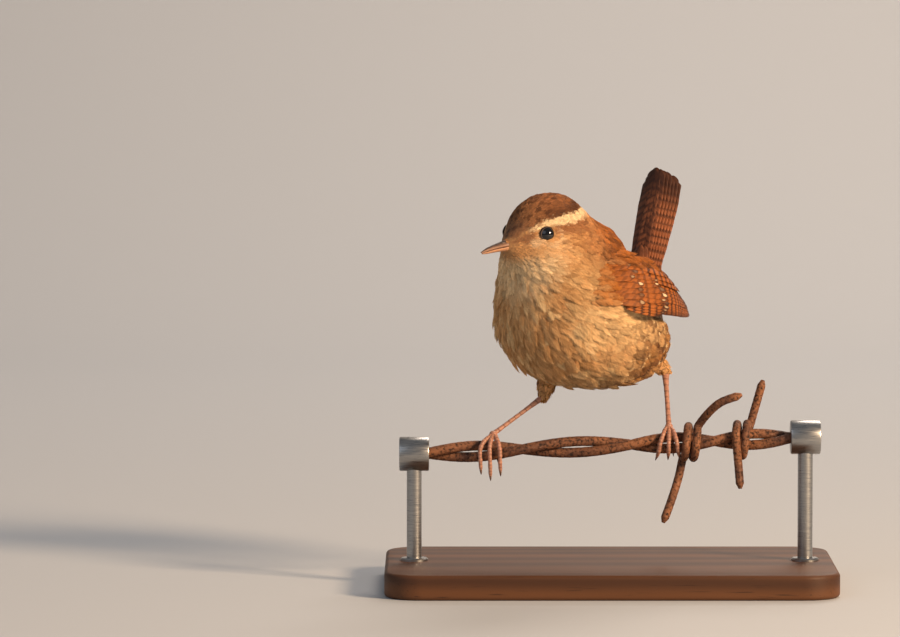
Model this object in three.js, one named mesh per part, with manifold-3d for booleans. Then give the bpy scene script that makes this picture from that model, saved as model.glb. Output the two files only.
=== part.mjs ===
// A life-size Eurasian wren gripping a short cut length of twisted barbed wire, on a plain display stand.
// Millimetres, +Z up. X runs along the wire, Y points away from the viewer, and the origin is under the
// middle of the base. The bird has a frame of its own: +X forward, +Y to its left, +Z up.
import * as THREE from "three";
import { mergeVertices } from "three/addons/utils/BufferGeometryUtils.js";
import Module from "manifold-3d";

const wasm = await Module();
wasm.setup();

// Driving sizes
const gap = 0.3; // between pieces that touch

const base = { length: 108, depth: 66, height: 6, corner: 9, bevel: 1 };
const rod = { at: 47, radius: 1.8, socket: 3, collarRadius: 4.1, collarHalf: 3.6 };

const wire = {
  height: 33.8, // of the centre line over the floor, at the middle
  rise: 0.043, // for each millimetre along X
  strand: 1.2, // radius of one strand
  crossings: [-66, -45, -21.8, 4.6, 24.5, 43.2, 64], // X where one strand passes in front of the other
};
const strandOrbit = wire.strand + gap / 2;
const wireEnvelope = strandOrbit + wire.strand;

const barb = {
  radius: 1,
  pitch: 2.4, // advance for each turn
  cut: 0.35, // radius at a cut end, as a share
  chamfer: 0.04, // share of the length over which it comes to its full size
};

const stance = { centre: [-6.9, 3, 64], yaw: 40 }; // yaw is counted from facing the viewer, towards -X
const headPose = { centre: [13.6, 0, 20], turn: 7, pitch: -4 }; // turned to the bird's right, bill down

// Plumage outline as ellipsoids, melted together. A form with a side is doubled on the other side.
const bodyForms = [
  { name: "breast", at: [6, 0, 1.5], r: [16.8, 18.6, 15.6] },
  { name: "belly", at: [-3, 0, -4], r: [18.5, 17.8, 12] },
  { name: "flank", at: [-5, 6.5, -5], r: [13.5, 11.5, 10.6], side: true },
  { name: "back", at: [-6, 0, 6], r: [15.5, 14, 12] },
  { name: "rump", at: [-16.5, 0, 3.5], r: [9.5, 9.5, 9] },
  { name: "vent", at: [-15, 0, -5.5], r: [10, 10.5, 8] },
  { name: "neck", at: [11, 0, 11.5], r: [12.2, 13.6, 11.5] },
  { name: "mantle", at: [2.6, 0, 15.6], r: [12.5, 12.3, 10] },
];
const headForms = [
  { name: "skull", at: [-1, 0, 0.9], r: [11.5, 9.9, 10.6] },
  { name: "cheek", at: [0.5, 4, -3.2], r: [7.5, 5.4, 5.6], side: true },
  { name: "face", at: [7.2, 0, -0.9], r: [5.2, 4.9, 4.6] },
  { name: "nape", at: [-6, 0, -5], r: [8, 9, 8] },
];
const skinGrain = { head: { edge: 2.2, slack: 0.22 }, torso: { edge: 3, slack: 0.34 } };
const bodyMelt = 6;
const headMelt = 3.5;
const neckMelt = 5;

const eye = { at: [5.4, 6, 1.9], radius: 2.1, socket: 2.4, lidRing: 1.7, lid: 0.3 };

const bill = {
  root: 8.6, // forward of the head's centre, inside the face
  edge: 11.4, // where the feathers end
  tip: 21.2,
  lift: -0.35, // of the mouth line at the edge
  droop: 0.0085, // of the tip, by the square of the way along
  width: 3.3,
  upper: 1.75, // height of each half at the feathers
  lower: 1.35,
  mouth: 0.24, // gap between the two halves
};

const nostril = { out: 1.3, side: 1.3, up: 0.85, half: [0.75, 0.5, 0.3], pitch: 6 }; // half sizes
const lid = { out: 1.85, ahead: 0.5, turn: 18, sides: [1.04, 0.94] }; // ring of the lids, from the eye's centre

const neckCut = { head: 7, torso: 12 }; // along the line from the head's centre to the torso's

const wing = {
  line: [[12.5, 13.2, 9.4], [4, 18, 8.2], [-8, 18.9, 5.8], [-20, 14, 2.9], [-32, 6.6, 0.2]],
  lean: [24, 28, 30, 32, 30], // degrees that the surface faces up, along the line
  curve: 17, // radius of the surface across its width
  under: 0.5, // how far the lowest vanes reach below the surface
  spare: 1, // room left round the folded wing
};

const tail = {
  root: [-20.9, 0, 5],
  lean: 18.5, // degrees back from upright
  sunk: 5.5, // part of the root inside the rump
  length: 30.4,
  width: 5,
  pairs: 6,
  // for the middle pair, and the change for each pair from there outwards
  across: [0.35, 0.3],
  fan: [0.6, 0.85], // degrees from the middle line
  lift0: [0.7, -0.36],
  lift1: [0.8, -0.42],
  tilt: [0.12, 0.1],
  shorter: 0.09, // of a pair, by the square of its number
  room: 1.1, // round the root, for the feathers that start from it
  flesh: { reach: 9, across: 4.6, thick: 2.7, sink: 0.6, taper: [0.8, 1, 0.9, 0.6, 0.3] },
};

// Short feathers over the tail's root, on its back and on its front, seen across the tail at c
const tailCoverts = {
  across: [-2.3, -0.8, 0.8, 2.3],
  faces: [
    { face: 1, length: 11.5, width: 4.4, lift0: 1.9, lift1: 1.5 },
    { face: -1, length: 13, width: 5, lift0: -3.1, lift1: -2.6 },
  ],
  start: -2, // along the tail
  shorter: 1.1, // for each millimetre off the middle
  spread: 1.25,
  tilt: 0.25,
};

const thigh = { radii: [4.3, 3.5, 2.5, 1.25], knee: [0.8, 0, -0.6] }; // from the hip to the ankle
const tarsus = { radius: 0.6, joint: 0.85, taper: [1.25, 0.95, 0.95, 1.15] };
const toe = {
  radius: 0.52,
  taper: [1.1, 1, 0.95, 1, 0.9, 0.92, 0.75],
  claw: 0.36,
  clawTaper: [1, 0.85, 0.5, 0.14],
  clawReach: [-0.6, 0.9, 1.9], // past the end of the toe
  palm: 0.95,
  palmLift: 0.55,
  clear: 3.45, // of its middle line, from the middle of the wire
};

// Where a toe lies round the wire: degrees from the top towards the front, and how far off it stands
const grip = {
  hang: [[18, 0.1], [48, 0.02], [82, 0]],
  wrap: [[18, 0.1], [50, 0.02], [85, 0], [118, 0], [146, 0.05]],
  hind: [[-22, 0.05], [-55, 0.05], [-92, 0.05], [-122, 0.05]],
  fan: [0.3, 0.75, 1], // share of a toe's drift along the wire, from the palm to its end
  hindX: 0.6,
  hindDrift: 0.45,
};

// Ankles and feet, in the part's frame. A foot is given by its place along the wire, and each front toe by
// its drift along the wire. The toes of a foot that hangs end below the wire, each by its own drop.
const legs = {
  right: {
    inside: [-1, -8, -8], ankle: [-15.8, 5.5, 45.2], footX: -28, bend: grip.hang, clawIn: 0.7,
    toes: [{ drift: -3.2, drop: 4.2 }, { drift: -0.9, drop: 5.8 }, { drift: 1.5, drop: 4.8 }],
  },
  left: {
    inside: [-13, 8, -4], ankle: [13.6, 9.2, 51], footX: 14.2, bend: grip.wrap, clawIn: 0.25,
    toes: [{ drift: -2.9 }, { drift: -0.2 }, { drift: 2.4 }],
  },
};

// Small helpers
const point = (x, y, z) => new THREE.Vector3(x, y, z);
const mix = (a, b, t) => a + (b - a) * t;
const radians = THREE.MathUtils.degToRad;

// Reads a list of evenly spaced values at t from 0 to 1.
function along(values, t) {
  const place = Math.min(Math.max(t, 0), 1) * (values.length - 1);
  const low = Math.min(Math.floor(place), values.length - 2);
  return mix(values[low], values[low + 1], place - low);
}

// A closed solid from triangles in any winding.
function solid(geometry) {
  const bare = geometry.index ? geometry.toNonIndexed() : geometry.clone();
  bare.deleteAttribute("normal");
  bare.deleteAttribute("uv");
  const merged = mergeVertices(bare, 1e-4);
  const triVerts = new Uint32Array(merged.index.array);
  const mesh = () =>
    new wasm.Mesh({ numProp: 3, vertProperties: merged.attributes.position.array, triVerts });
  const made = new wasm.Manifold(mesh());
  if (made.volume() > 0) return made;
  triVerts.reverse();
  return new wasm.Manifold(mesh());
}

function fromArrays(points, triangles) {
  const geometry = new THREE.BufferGeometry();
  geometry.setAttribute("position", new THREE.Float32BufferAttribute(points, 3));
  geometry.setIndex(triangles);
  return solid(geometry);
}

const fuse = (pieces) => wasm.Manifold.union(pieces);

// Keeps the largest closed surface, which fills a sealed hollow and drops a loose scrap.
function largest(made) {
  return made.decompose().sort((a, b) => b.volume() - a.volume())[0];
}

// Closes a stack of rings of equal length with a fan at each end.
function loft(rings) {
  const sides = rings[0].length;
  const points = rings.flat().flatMap((p) => p.toArray());
  const triangles = [];
  for (let i = 0; i + 1 < rings.length; i++)
    for (let j = 0; j < sides; j++) {
      const next = (j + 1) % sides;
      const [a, b, c, d] = [i * sides + j, i * sides + next, (i + 1) * sides + next, (i + 1) * sides + j];
      triangles.push(a, b, c, a, c, d);
    }
  for (const [start, turned] of [[0, true], [(rings.length - 1) * sides, false]])
    for (let j = 1; j + 1 < sides; j++)
      triangles.push(start, start + (turned ? j + 1 : j), start + (turned ? j : j + 1));
  return fromArrays(points, triangles);
}

// A round tube with a radius that follows radiusAt from 0 to 1 along a smooth line through the points.
function tube(points, radiusAt, sides, steps) {
  const line = new THREE.CatmullRomCurve3(points, false, "centripetal");
  const frames = line.computeFrenetFrames(steps, false);
  const rings = [];
  for (let i = 0; i <= steps; i++) {
    const centre = line.getPointAt(i / steps);
    const radius = radiusAt(i / steps);
    rings.push(
      Array.from({ length: sides }, (_, j) => {
        const angle = (j / sides) * 2 * Math.PI;
        return centre
          .clone()
          .addScaledVector(frames.normals[i], radius * Math.cos(angle))
          .addScaledVector(frames.binormals[i], radius * Math.sin(angle));
      }),
    );
  }
  return loft(rings);
}

// A patch of a surface with a thickness. place(x, c, h) gives the point that is x along, c across and h out,
// and patch(u, v) gives x, c and the heights of the two faces, with u from 0 to 1 and v from -1 to 1.
function slab(place, rows, columns, patch) {
  const points = [];
  const triangles = [];
  const at = (i, j, top) => 2 * (i * (columns + 1) + j) + top;
  for (let i = 0; i <= rows; i++)
    for (let j = 0; j <= columns; j++) {
      const { x, c, low, high } = patch(i / rows, (2 * j) / columns - 1);
      points.push(...place(x, c, low).toArray(), ...place(x, c, high).toArray());
    }
  for (let i = 0; i < rows; i++)
    for (let j = 0; j < columns; j++)
      for (const top of [0, 1]) {
        const [a, b, c, d] = [at(i, j, top), at(i + 1, j, top), at(i + 1, j + 1, top), at(i, j + 1, top)];
        triangles.push(...(top ? [a, b, c, a, c, d] : [a, c, b, a, d, c]));
      }
  const rim = [];
  for (let i = 0; i < rows; i++) rim.push([i, 0]);
  for (let j = 0; j < columns; j++) rim.push([rows, j]);
  for (let i = rows; i > 0; i--) rim.push([i, columns]);
  for (let j = columns; j > 0; j--) rim.push([0, j]);
  rim.forEach(([i, j], k) => {
    const [m, n] = rim[(k + 1) % rim.length];
    triangles.push(at(m, n, 1), at(i, j, 1), at(i, j, 0), at(m, n, 1), at(i, j, 0), at(m, n, 0));
  });
  return fromArrays(points, triangles);
}

const vane = { thickness: 0.5, shape: [0.5, 0.86, 1, 0.84, 0.34] }; // width along a feather, as shares

// One feather: its centre runs from x0, c0 to x1, c1, and its edge at -c stands higher than its edge at +c.
function feather(place, f, rows = 3) {
  const columns = 2;
  return slab(place, rows, columns, (u, v) => {
    const half = (f.width / 2) * along(vane.shape, u);
    const thin = (vane.thickness / 2) * (u === 1 ? 0.5 : 1);
    const height = mix(f.lift0, f.lift1, u) - (f.tilt ?? 0.4) * v * along(vane.shape, u);
    return {
      x: mix(f.x0, f.x1, u) + (u === 1 ? f.width * 0.16 * (1 - v * v) : 0),
      c: mix(f.c0, f.c1, u) + (f.bow ?? 0) * Math.sin(Math.PI * u) + v * half,
      low: height - thin,
      high: height + thin,
    };
  });
}

// The frame of the whole bird in the part's frame, and of its head in the bird's frame
const birdMatrix = new THREE.Matrix4()
  .makeRotationZ(radians(-90 - stance.yaw))
  .setPosition(...stance.centre);
const toBird = (p) => point(...p).applyMatrix4(birdMatrix.clone().invert());
const headMatrix = new THREE.Matrix4()
  .makeRotationZ(radians(-headPose.turn))
  .multiply(new THREE.Matrix4().makeRotationY(radians(-headPose.pitch)))
  .setPosition(...headPose.centre);
const fromHead = headMatrix.clone().invert();

// Signed distance to one ellipsoid, and the melting of two distances
function ellipsoid(p, form) {
  const y = form.side ? Math.abs(p.y) : p.y;
  const q = [(p.x - form.at[0]) / form.r[0], (y - form.at[1]) / form.r[1], (p.z - form.at[2]) / form.r[2]];
  const near = Math.hypot(...q);
  const slope = Math.hypot(...q.map((v, i) => v / form.r[i]));
  return near < 1e-9 ? -Math.min(...form.r) : (near * (near - 1)) / slope;
}

function melt(a, b, reach) {
  const share = Math.max(reach - Math.abs(a - b), 0) / reach;
  return Math.min(a, b) - (share * share * reach) / 4;
}

const meltAll = (p, forms, reach) =>
  forms.map((form) => ellipsoid(p, form)).reduce((a, b) => melt(a, b, reach));

// Distance to the plumage, in the bird's frame
function plumage(p) {
  const head = meltAll(p.clone().applyMatrix4(fromHead), headForms, headMelt);
  return melt(meltAll(p, bodyForms, bodyMelt), head, neckMelt);
}

// The plumage as a closed surface, kept within slack of its true place as triangles are merged
function skin({ edge, slack }) {
  const room = { min: [-34, -28, -26], max: [34, 28, 38] };
  return wasm.Manifold.levelSet((p) => -plumage(point(...p)), room, edge, 0, edge / 40).simplify(slack);
}

// Wire
const wireZ = (x) => wire.height + wire.rise * x;

function strandPoint(x, which) {
  const after = wire.crossings.findIndex((crossing) => crossing > x);
  const [from, to] = [wire.crossings[after - 1], wire.crossings[after]];
  const angle = Math.PI * (after - 1 + (x - from) / (to - from) + which);
  return point(x, -strandOrbit * Math.cos(angle), wireZ(x) + strandOrbit * Math.sin(angle));
}

function strand(which, radius, reach) {
  const steps = 30;
  const points = Array.from({ length: steps + 1 }, (_, i) => strandPoint(mix(-reach, reach, i / steps), which));
  return tube(points, () => radius, 6, steps);
}

// A point round the wire: psi is 0 on top, 90 at the front and 180 underneath.
const roundWire = (x, psi, radius) =>
  point(x, -radius * Math.sin(radians(psi)), wireZ(x) + radius * Math.cos(radians(psi)));

// A barb wraps the wire from psi0 at x0, and each end runs out to a cut point.
function barbSolid({ x0, psi0, turns, tips }) {
  const orbit = wireEnvelope + gap + barb.radius;
  const steps = Math.round(turns * 10);
  const wrap = Array.from({ length: steps + 1 }, (_, i) => {
    const turn = (turns * i) / steps;
    return roundWire(x0 - barb.pitch * turn, psi0 + 360 * turn, orbit);
  });
  const points = [...tips[0].map((p) => point(...p)), ...wrap, ...tips[1].map((p) => point(...p))];
  const fromEnd = (t) => Math.min(t, 1 - t);
  return tube(points, (t) => barb.radius * Math.min(1, barb.cut + fromEnd(t) / barb.chamfer), 6, 28);
}

const barbs = [
  {
    x0: 21.2, psi0: 10, turns: 1.5,
    tips: [[[31.4, -6.6, 46.6], [26, -5.6, 44.4]], [[16.6, 1.4, 26], [14.8, -0.6, 20.6], [12.8, -2, 15.4]]],
  },
  {
    x0: 33.4, psi0: -60, turns: 1.35,
    tips: [[[37, 4.6, 49.2], [35, 5, 42]], [[30.8, -3.6, 29], [31.2, -4.4, 23.8]]],
  },
];

// Stand
function rodSolid(side) {
  const x = side * rod.at;
  const height = wireZ(x) - rod.socket;
  const shaft = solid(new THREE.CylinderGeometry(rod.radius, rod.radius, height, 16).rotateX(Math.PI / 2));
  const collar = solid(
    new THREE.CylinderGeometry(rod.collarRadius, rod.collarRadius, 2 * rod.collarHalf, 20).rotateZ(Math.PI / 2),
  );
  const strands = [0, 1].map((which) => strand(which, wire.strand + gap, rod.at + gap));
  return fuse([shaft.translate([x, 0, rod.socket + height / 2]), collar.translate([x, 0, wireZ(x)])]).subtract(
    fuse(strands),
  );
}

function baseSolid() {
  const [x, y, r] = [base.length / 2 - base.bevel, base.depth / 2 - base.bevel, base.corner];
  const outline = new THREE.Shape();
  outline.absarc(x - r, y - r, r, 0, Math.PI / 2);
  outline.absarc(r - x, y - r, r, Math.PI / 2, Math.PI);
  outline.absarc(r - x, r - y, r, Math.PI, 1.5 * Math.PI);
  outline.absarc(x - r, r - y, r, 1.5 * Math.PI, 2 * Math.PI);
  const plate = new THREE.ExtrudeGeometry(outline, {
    depth: base.height - 2 * base.bevel,
    bevelSize: base.bevel,
    bevelThickness: base.bevel,
    bevelSegments: 1,
    curveSegments: 4,
  }).translate(0, 0, base.bevel);
  const hole = solid(
    new THREE.CylinderGeometry(rod.radius + gap, rod.radius + gap, base.height, 16).rotateX(Math.PI / 2),
  );
  const sockets = [-1, 1].map((side) => hole.translate([side * rod.at, 0, rod.socket - gap + base.height / 2]));
  return solid(plate).subtract(fuse(sockets));
}

// Wing: x runs from the wrist to the tip, c across it towards the back, and h out from the body.
const wingLine = new THREE.CatmullRomCurve3(wing.line.map((p) => point(...p)), false, "centripetal");
const wingLength = wingLine.getLength();

function wingPlace(x, c, h) {
  const t = Math.min(Math.max(x / wingLength, 0), 1);
  const tangent = wingLine.getTangentAt(t);
  const middle = wingLine.getPointAt(t).addScaledVector(tangent, x - t * wingLength);
  const lean = radians(along(wing.lean, t));
  const out = point(0, Math.cos(lean), Math.sin(lean));
  out.addScaledVector(tangent, -out.dot(tangent)).normalize();
  const up = out.clone().cross(tangent);
  const round = c / wing.curve;
  return middle
    .addScaledVector(up, (wing.curve + h) * Math.sin(round))
    .addScaledVector(out, (wing.curve + h) * Math.cos(round) - wing.curve);
}

// A row of feathers whose numbers run evenly from the first to the last, and a list is read along the row
function featherRow(count, first, last) {
  return Array.from({ length: count }, (_, i) => {
    const t = i / (count - 1);
    const f = {};
    for (const [key, value] of Object.entries(first))
      f[key] = Array.isArray(value) ? along(value, t) : mix(value, last[key] ?? value, t);
    return f;
  });
}

const wingRows = {
  primaries: featherRow(
    6,
    {
      x0: 11, c0: -4.4, x1: [38, 42, 45, 47.2, 47.6, 46], c1: -1.9, width: 3.5,
      lift0: 0.35, lift1: 0.3, tilt: 0.36,
    },
    { c0: -1.4, c1: 0.7, lift0: 0.7, lift1: 0.9 },
  ),
  secondaries: featherRow(
    5,
    { x0: 11, c0: -0.8, x1: 41.5, c1: 0.5, width: 4.2, lift0: 0.9, lift1: 1.1, tilt: 0.4 },
    { c0: 4, x1: 32.5, c1: 3.2, lift0: 1.3, lift1: 1.5 },
  ),
  tertials: featherRow(
    3,
    { x0: 12, c0: 4, x1: 33, c1: 3.8, width: 5, lift0: 1.6, lift1: 1.9, tilt: 0.45 },
    { c0: 6.2, x1: 25.5, c1: 6, lift0: 2, lift1: 2.3 },
  ),
  primaryCoverts: featherRow(
    3,
    { x0: 8, c0: -4.9, x1: 18.5, c1: -5.2, width: 2.8, lift0: 1, lift1: 1.1 },
    { c0: -2.6, x1: 21, c1: -2.4, lift0: 1.2, lift1: 1.3 },
  ),
  greaterCoverts: featherRow(
    6,
    { x0: 7.5, c0: -1.6, x1: 19.4, c1: -1.6, width: 4.2, lift0: 1.5, lift1: 1.7 },
    { c0: 6.2, x1: 17, c1: 7, lift0: 2, lift1: 2.5 },
  ),
  medianCoverts: featherRow(
    4,
    { x0: 3.5, c0: -3, x1: 12, c1: -3.4, width: 4.8, lift0: 1.6, lift1: 2.3 },
    { c0: 5.4, x1: 10.6, c1: 6.4, lift0: 2.2, lift1: 2.9 },
  ),
};
const wingWidth = { lower: [3.6, 6.8, 7.1, 6.4, 5.2, 4], upper: [4, 9.2, 9.8, 8.4, 6, 3.4] };

// The arm inside the wing, under its coverts: how far it reaches, as a share, and its height along it
const arm = { end: 0.5, inset: 1, low: 0.5, swell: 1.7, along: [0.5, 1, 1, 0.55, 0.2], round: 0.9, blunt: 0.6 };

function wingSolid() {
  const core = slab(wingPlace, 5, 4, (u, v) => {
    const t = arm.end * u;
    const edge = (v < 0 ? along(wingWidth.lower, t) : along(wingWidth.upper, t)) - arm.inset;
    const high = arm.low + arm.swell * Math.sqrt(1 - v * v * arm.round) * along(arm.along, u);
    return { x: t * wingLength, c: v * edge * (u === 0 ? arm.blunt : 1), low: 0, high };
  });
  const long = [...wingRows.primaries, ...wingRows.secondaries, ...wingRows.tertials];
  const short = [...wingRows.primaryCoverts, ...wingRows.greaterCoverts, ...wingRows.medianCoverts];
  return largest(
    fuse([core, ...long.map((f) => feather(wingPlace, f)), ...short.map((f) => feather(wingPlace, f, 2))]),
  );
}

// The room that a wing needs in the plumage
function wingRecess() {
  const lowest = -wing.under - gap;
  return slab(wingPlace, 10, 4, (u, v) => {
    const t = mix(-0.04, 1.04, u);
    const edge = (v < 0 ? along(wingWidth.lower, t) : along(wingWidth.upper, t)) + wing.spare;
    return { x: t * wingLength, c: v * edge, low: lowest, high: 9 };
  });
}

// Tail: x runs up it from the rump, c to the bird's left, and h towards its back.
const tailLean = radians(tail.lean);
const tailUp = point(-Math.sin(tailLean), 0, Math.cos(tailLean));
const tailFace = point(Math.cos(tailLean), 0, Math.sin(tailLean));
const tailPlace = (x, c, h) =>
  point(...tail.root)
    .addScaledVector(tailUp, x)
    .addScaledVector(tailFace, h)
    .add(point(0, c, 0));

// The fleshy root of the tail, or with room to spare round it the hollow that it sits in
function tailRoot(spare) {
  const { reach, across, thick, sink, taper } = tail.flesh;
  const [steps, sides] = [4, 16];
  const rings = [];
  const square = (v) => Math.sign(v) * Math.sqrt(Math.abs(v));
  for (let i = 0; i <= steps; i++) {
    const x = mix(-tail.sunk - Math.min(spare, gap), reach + 2 * spare, i / steps);
    const share = spare ? 1 : along(taper, i / steps);
    rings.push(
      Array.from({ length: sides }, (_, j) => {
        const angle = (j / sides) * 2 * Math.PI;
        const c = (across * share + spare) * square(Math.cos(angle));
        return tailPlace(x, c, (thick * share + spare) * square(Math.sin(angle)) - sink);
      }),
    );
  }
  return loft(rings);
}

function tailSolid() {
  const vanes = [];
  for (let pair = 0; pair < tail.pairs; pair++)
    for (const side of [-1, 1]) {
      const stepped = ([first, change]) => first + change * pair;
      const across = side * stepped(tail.across);
      const length = tail.length - tail.shorter * pair * pair;
      const spread = side * length * Math.sin(radians(stepped(tail.fan)));
      vanes.push({
        x0: -1, c0: across, x1: length, c1: across + spread, width: tail.width,
        lift0: stepped(tail.lift0), lift1: stepped(tail.lift1), tilt: side * stepped(tail.tilt),
      });
    }
  const { across, faces, start, shorter, spread, tilt } = tailCoverts;
  const coverts = faces.flatMap(({ face, length, width, lift0, lift1 }) =>
    across.map((c) => {
      const far = Math.abs(c);
      return {
        x0: start, c0: c, x1: length - shorter * far, c1: c * spread, width,
        lift0: lift0 - face * 0.25 * far, lift1: lift1 - face * 0.3 * far,
        tilt: tilt * Math.sign(c) * face,
      };
    }),
  );
  const long = vanes.map((f) => feather(tailPlace, f));
  const short = coverts.map((f) => feather(tailPlace, f, 2));
  return largest(fuse([tailRoot(0), ...long, ...short]));
}

// Bill, in the head's frame. upper is 1 for the upper half and -1 for the lower one.
function billHalf(upper, grown = 0) {
  const steps = 9;
  const height = upper > 0 ? bill.upper : bill.lower;
  const rings = [];
  for (let i = 0; i <= steps; i++) {
    const x = mix(bill.root - grown, bill.tip - (upper > 0 ? 0 : 0.35), i / steps);
    const out = Math.max(x - bill.edge, 0);
    const t = out / (bill.tip - bill.edge);
    const taper = along([1, 0.74, 0.56, 0.42, 0.3, 0.16], t);
    const seat = bill.lift - bill.droop * out * out + (upper * bill.mouth) / 2;
    const half = (bill.width / 2) * taper + grown;
    const rise = height * along([1, 0.8, 0.66, 0.54, 0.42, 0.24], t) + grown;
    rings.push(
      Array.from({ length: 9 }, (_, j) => {
        const angle = (j / 8) * Math.PI;
        const z = seat - upper * grown + upper * (rise + grown) * Math.sin(angle);
        return point(x, half * Math.cos(angle), z);
      }),
    );
  }
  return loft(rings);
}

function upperBill() {
  const hole = solid(new THREE.SphereGeometry(1, 8, 6).scale(...nostril.half)).rotate([0, nostril.pitch, 0]);
  const holes = [-1, 1].map((side) =>
    hole.translate([bill.edge + nostril.out, side * nostril.side, bill.lift + nostril.up]),
  );
  return billHalf(1).subtract(fuse(holes));
}

const eyeball = (side, radius) =>
  solid(new THREE.SphereGeometry(radius, 14, 9)).translate([eye.at[0], side * eye.at[1], eye.at[2]]);

function lidRing(side) {
  const ring = new THREE.TorusGeometry(eye.lidRing, eye.lid, 5, 16).scale(...lid.sides, 1);
  return solid(ring.rotateX(Math.PI / 2).rotateZ(radians(-side * lid.turn))).translate([
    eye.at[0] + lid.ahead,
    side * (eye.at[1] + lid.out),
    eye.at[2],
  ]);
}

const placed = (made, matrix) => made.transform(matrix.elements);

// Whole skin of the body, then its three parts between two planes across the neck
const headCentre = point(...headPose.centre);
const bodySkin = skin(skinGrain.torso);
const headSkin = skin(skinGrain.head);
const neckAxis = headCentre.clone().negate().normalize();
const [nx, ny, nz] = neckAxis.toArray();
const depthOf = (distance) => headCentre.clone().addScaledVector(neckAxis, distance).dot(neckAxis);
const below = (made, distance) => made.trimByPlane([nx, ny, nz], depthOf(distance));
const above = (made, distance) => made.trimByPlane([-nx, -ny, -nz], -depthOf(distance));

// A toe's middle line round the wire, in the part's frame. A drop carries its end below the wire.
function toeLine(palm, footX, { drift, drop }, bend) {
  const line = bend.map(([psi, off], i) =>
    roundWire(footX + drift * along(grip.fan, i / (bend.length - 1)), psi, toe.clear + off),
  );
  if (drop) {
    const start = roundWire(footX + drift, 90, toe.clear);
    line.push(start.clone().add(point(0.1, -0.1, -drop / 2)), start.clone().add(point(0.2, 0.3, -drop)));
  }
  return [palm, ...line];
}

// A toe and the claw that goes on from its end, turned in towards the wire
function toeSolids(line, clawIn) {
  const last = line.at(-1);
  const onward = last.clone().sub(line.at(-2)).normalize();
  const inward = point(last.x, 0, wireZ(last.x)).sub(last).normalize();
  const claw = toe.clawReach.map((reach) => last.clone().addScaledVector(onward, reach));
  claw.at(-1).addScaledVector(inward, clawIn);
  const local = (points) => points.map((p) => toBird(p.toArray()));
  return [
    tube(local(line), (t) => toe.radius * along(toe.taper, t), 5, 6),
    tube(local(claw), (t) => toe.claw * along(toe.clawTaper, t), 5, 3),
  ];
}

// One leg in the bird's frame. Its ankle and palm are set in the part's frame.
function legSolids({ inside, ankle, footX, bend, clawIn, toes }) {
  const top = toBird(ankle);
  const palmAt = roundWire(footX, 0, toe.clear + toe.palmLift);
  const palm = toBird(palmAt.toArray());
  const hip = point(...inside);
  const knee = hip.clone().lerp(top, 0.55).add(point(...thigh.knee));
  const joint = solid(new THREE.SphereGeometry(1, 8, 6));
  const thighTube = (grown) => tube([hip, knee, top], (t) => along(thigh.radii, t) + grown, 12, 6);
  const shank = [top, top.clone().lerp(palm, 0.5), palm];
  const shin = (grown) =>
    fuse([
      tube(shank, (t) => tarsus.radius * along(tarsus.taper, t) + grown, 8, 5),
      joint.scale(tarsus.joint + grown).translate(top.toArray()),
    ]);
  const ball = (grown) => joint.scale(toe.palm + grown).translate(palm.toArray());
  const hindX = (i) => footX + grip.hindX + (grip.hindDrift * i) / (grip.hind.length - 1);
  const hind = [palmAt, ...grip.hind.map(([psi, off], i) => roundWire(hindX(i), psi, toe.clear + off))];
  const lines = [...toes.map((spec) => toeLine(palmAt, footX, spec, bend)), hind];
  return {
    thigh: thighTube(0).subtract(shin(gap)),
    thighRoom: thighTube(gap),
    tarsus: largest(shin(0).subtract(ball(gap))),
    foot: largest(fuse([ball(0), ...lines.flatMap((line) => toeSolids(line, clawIn))])),
  };
}

// Colours, roughness and metalness
const look = (color, roughness, metalness = 0) =>
  new THREE.MeshStandardMaterial({ color, roughness, metalness });
const looks = {
  crown: look(0x9a5f36, 0.9),
  buff: look(0xc4925c, 0.9),
  breast: look(0xc99a62, 0.9),
  wing: look(0x8f4a1e, 0.85),
  tail: look(0x7c4228, 0.85),
  bill: look(0x6b4a3a, 0.45),
  billLower: look(0xb98a6c, 0.45),
  eye: look(0x120c08, 0.08),
  thigh: look(0xb07a45, 0.9),
  leg: look(0xb08470, 0.5),
  wire: look(0x6a4636, 0.75, 0.6),
  stand: look(0x3a2a20, 0.5),
  rod: look(0x57585a, 0.35, 0.9),
};

function mesh(name, made, material) {
  const kept = made.getMesh();
  const geometry = new THREE.BufferGeometry();
  geometry.setAttribute("position", new THREE.BufferAttribute(kept.vertProperties, 3));
  geometry.setIndex(new THREE.BufferAttribute(kept.triVerts, 1));
  const result = new THREE.Mesh(geometry, material);
  result.name = name;
  return result;
}

// Assembly
const wren = new THREE.Group();
wren.applyMatrix4(birdMatrix);

const leftWing = wingSolid();
const leftRecess = wingRecess();
const mirrored = (made) => made.mirror([0, 1, 0]);
const legParts = Object.fromEntries(Object.entries(legs).map(([name, leg]) => [name, legSolids(leg)]));
const thighRooms = Object.values(legParts).map((leg) => leg.thighRoom);
const rooms = fuse([leftRecess, mirrored(leftRecess), tailRoot(tail.room), ...thighRooms]);

const lids = placed(fuse([lidRing(-1), lidRing(1)]), headMatrix);
const headRooms = placed(
  fuse([eyeball(-1, eye.socket), eyeball(1, eye.socket), billHalf(1, gap), billHalf(-1, gap)]),
  headMatrix,
);
const clearedSkin = bodySkin.subtract(rooms);

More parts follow.
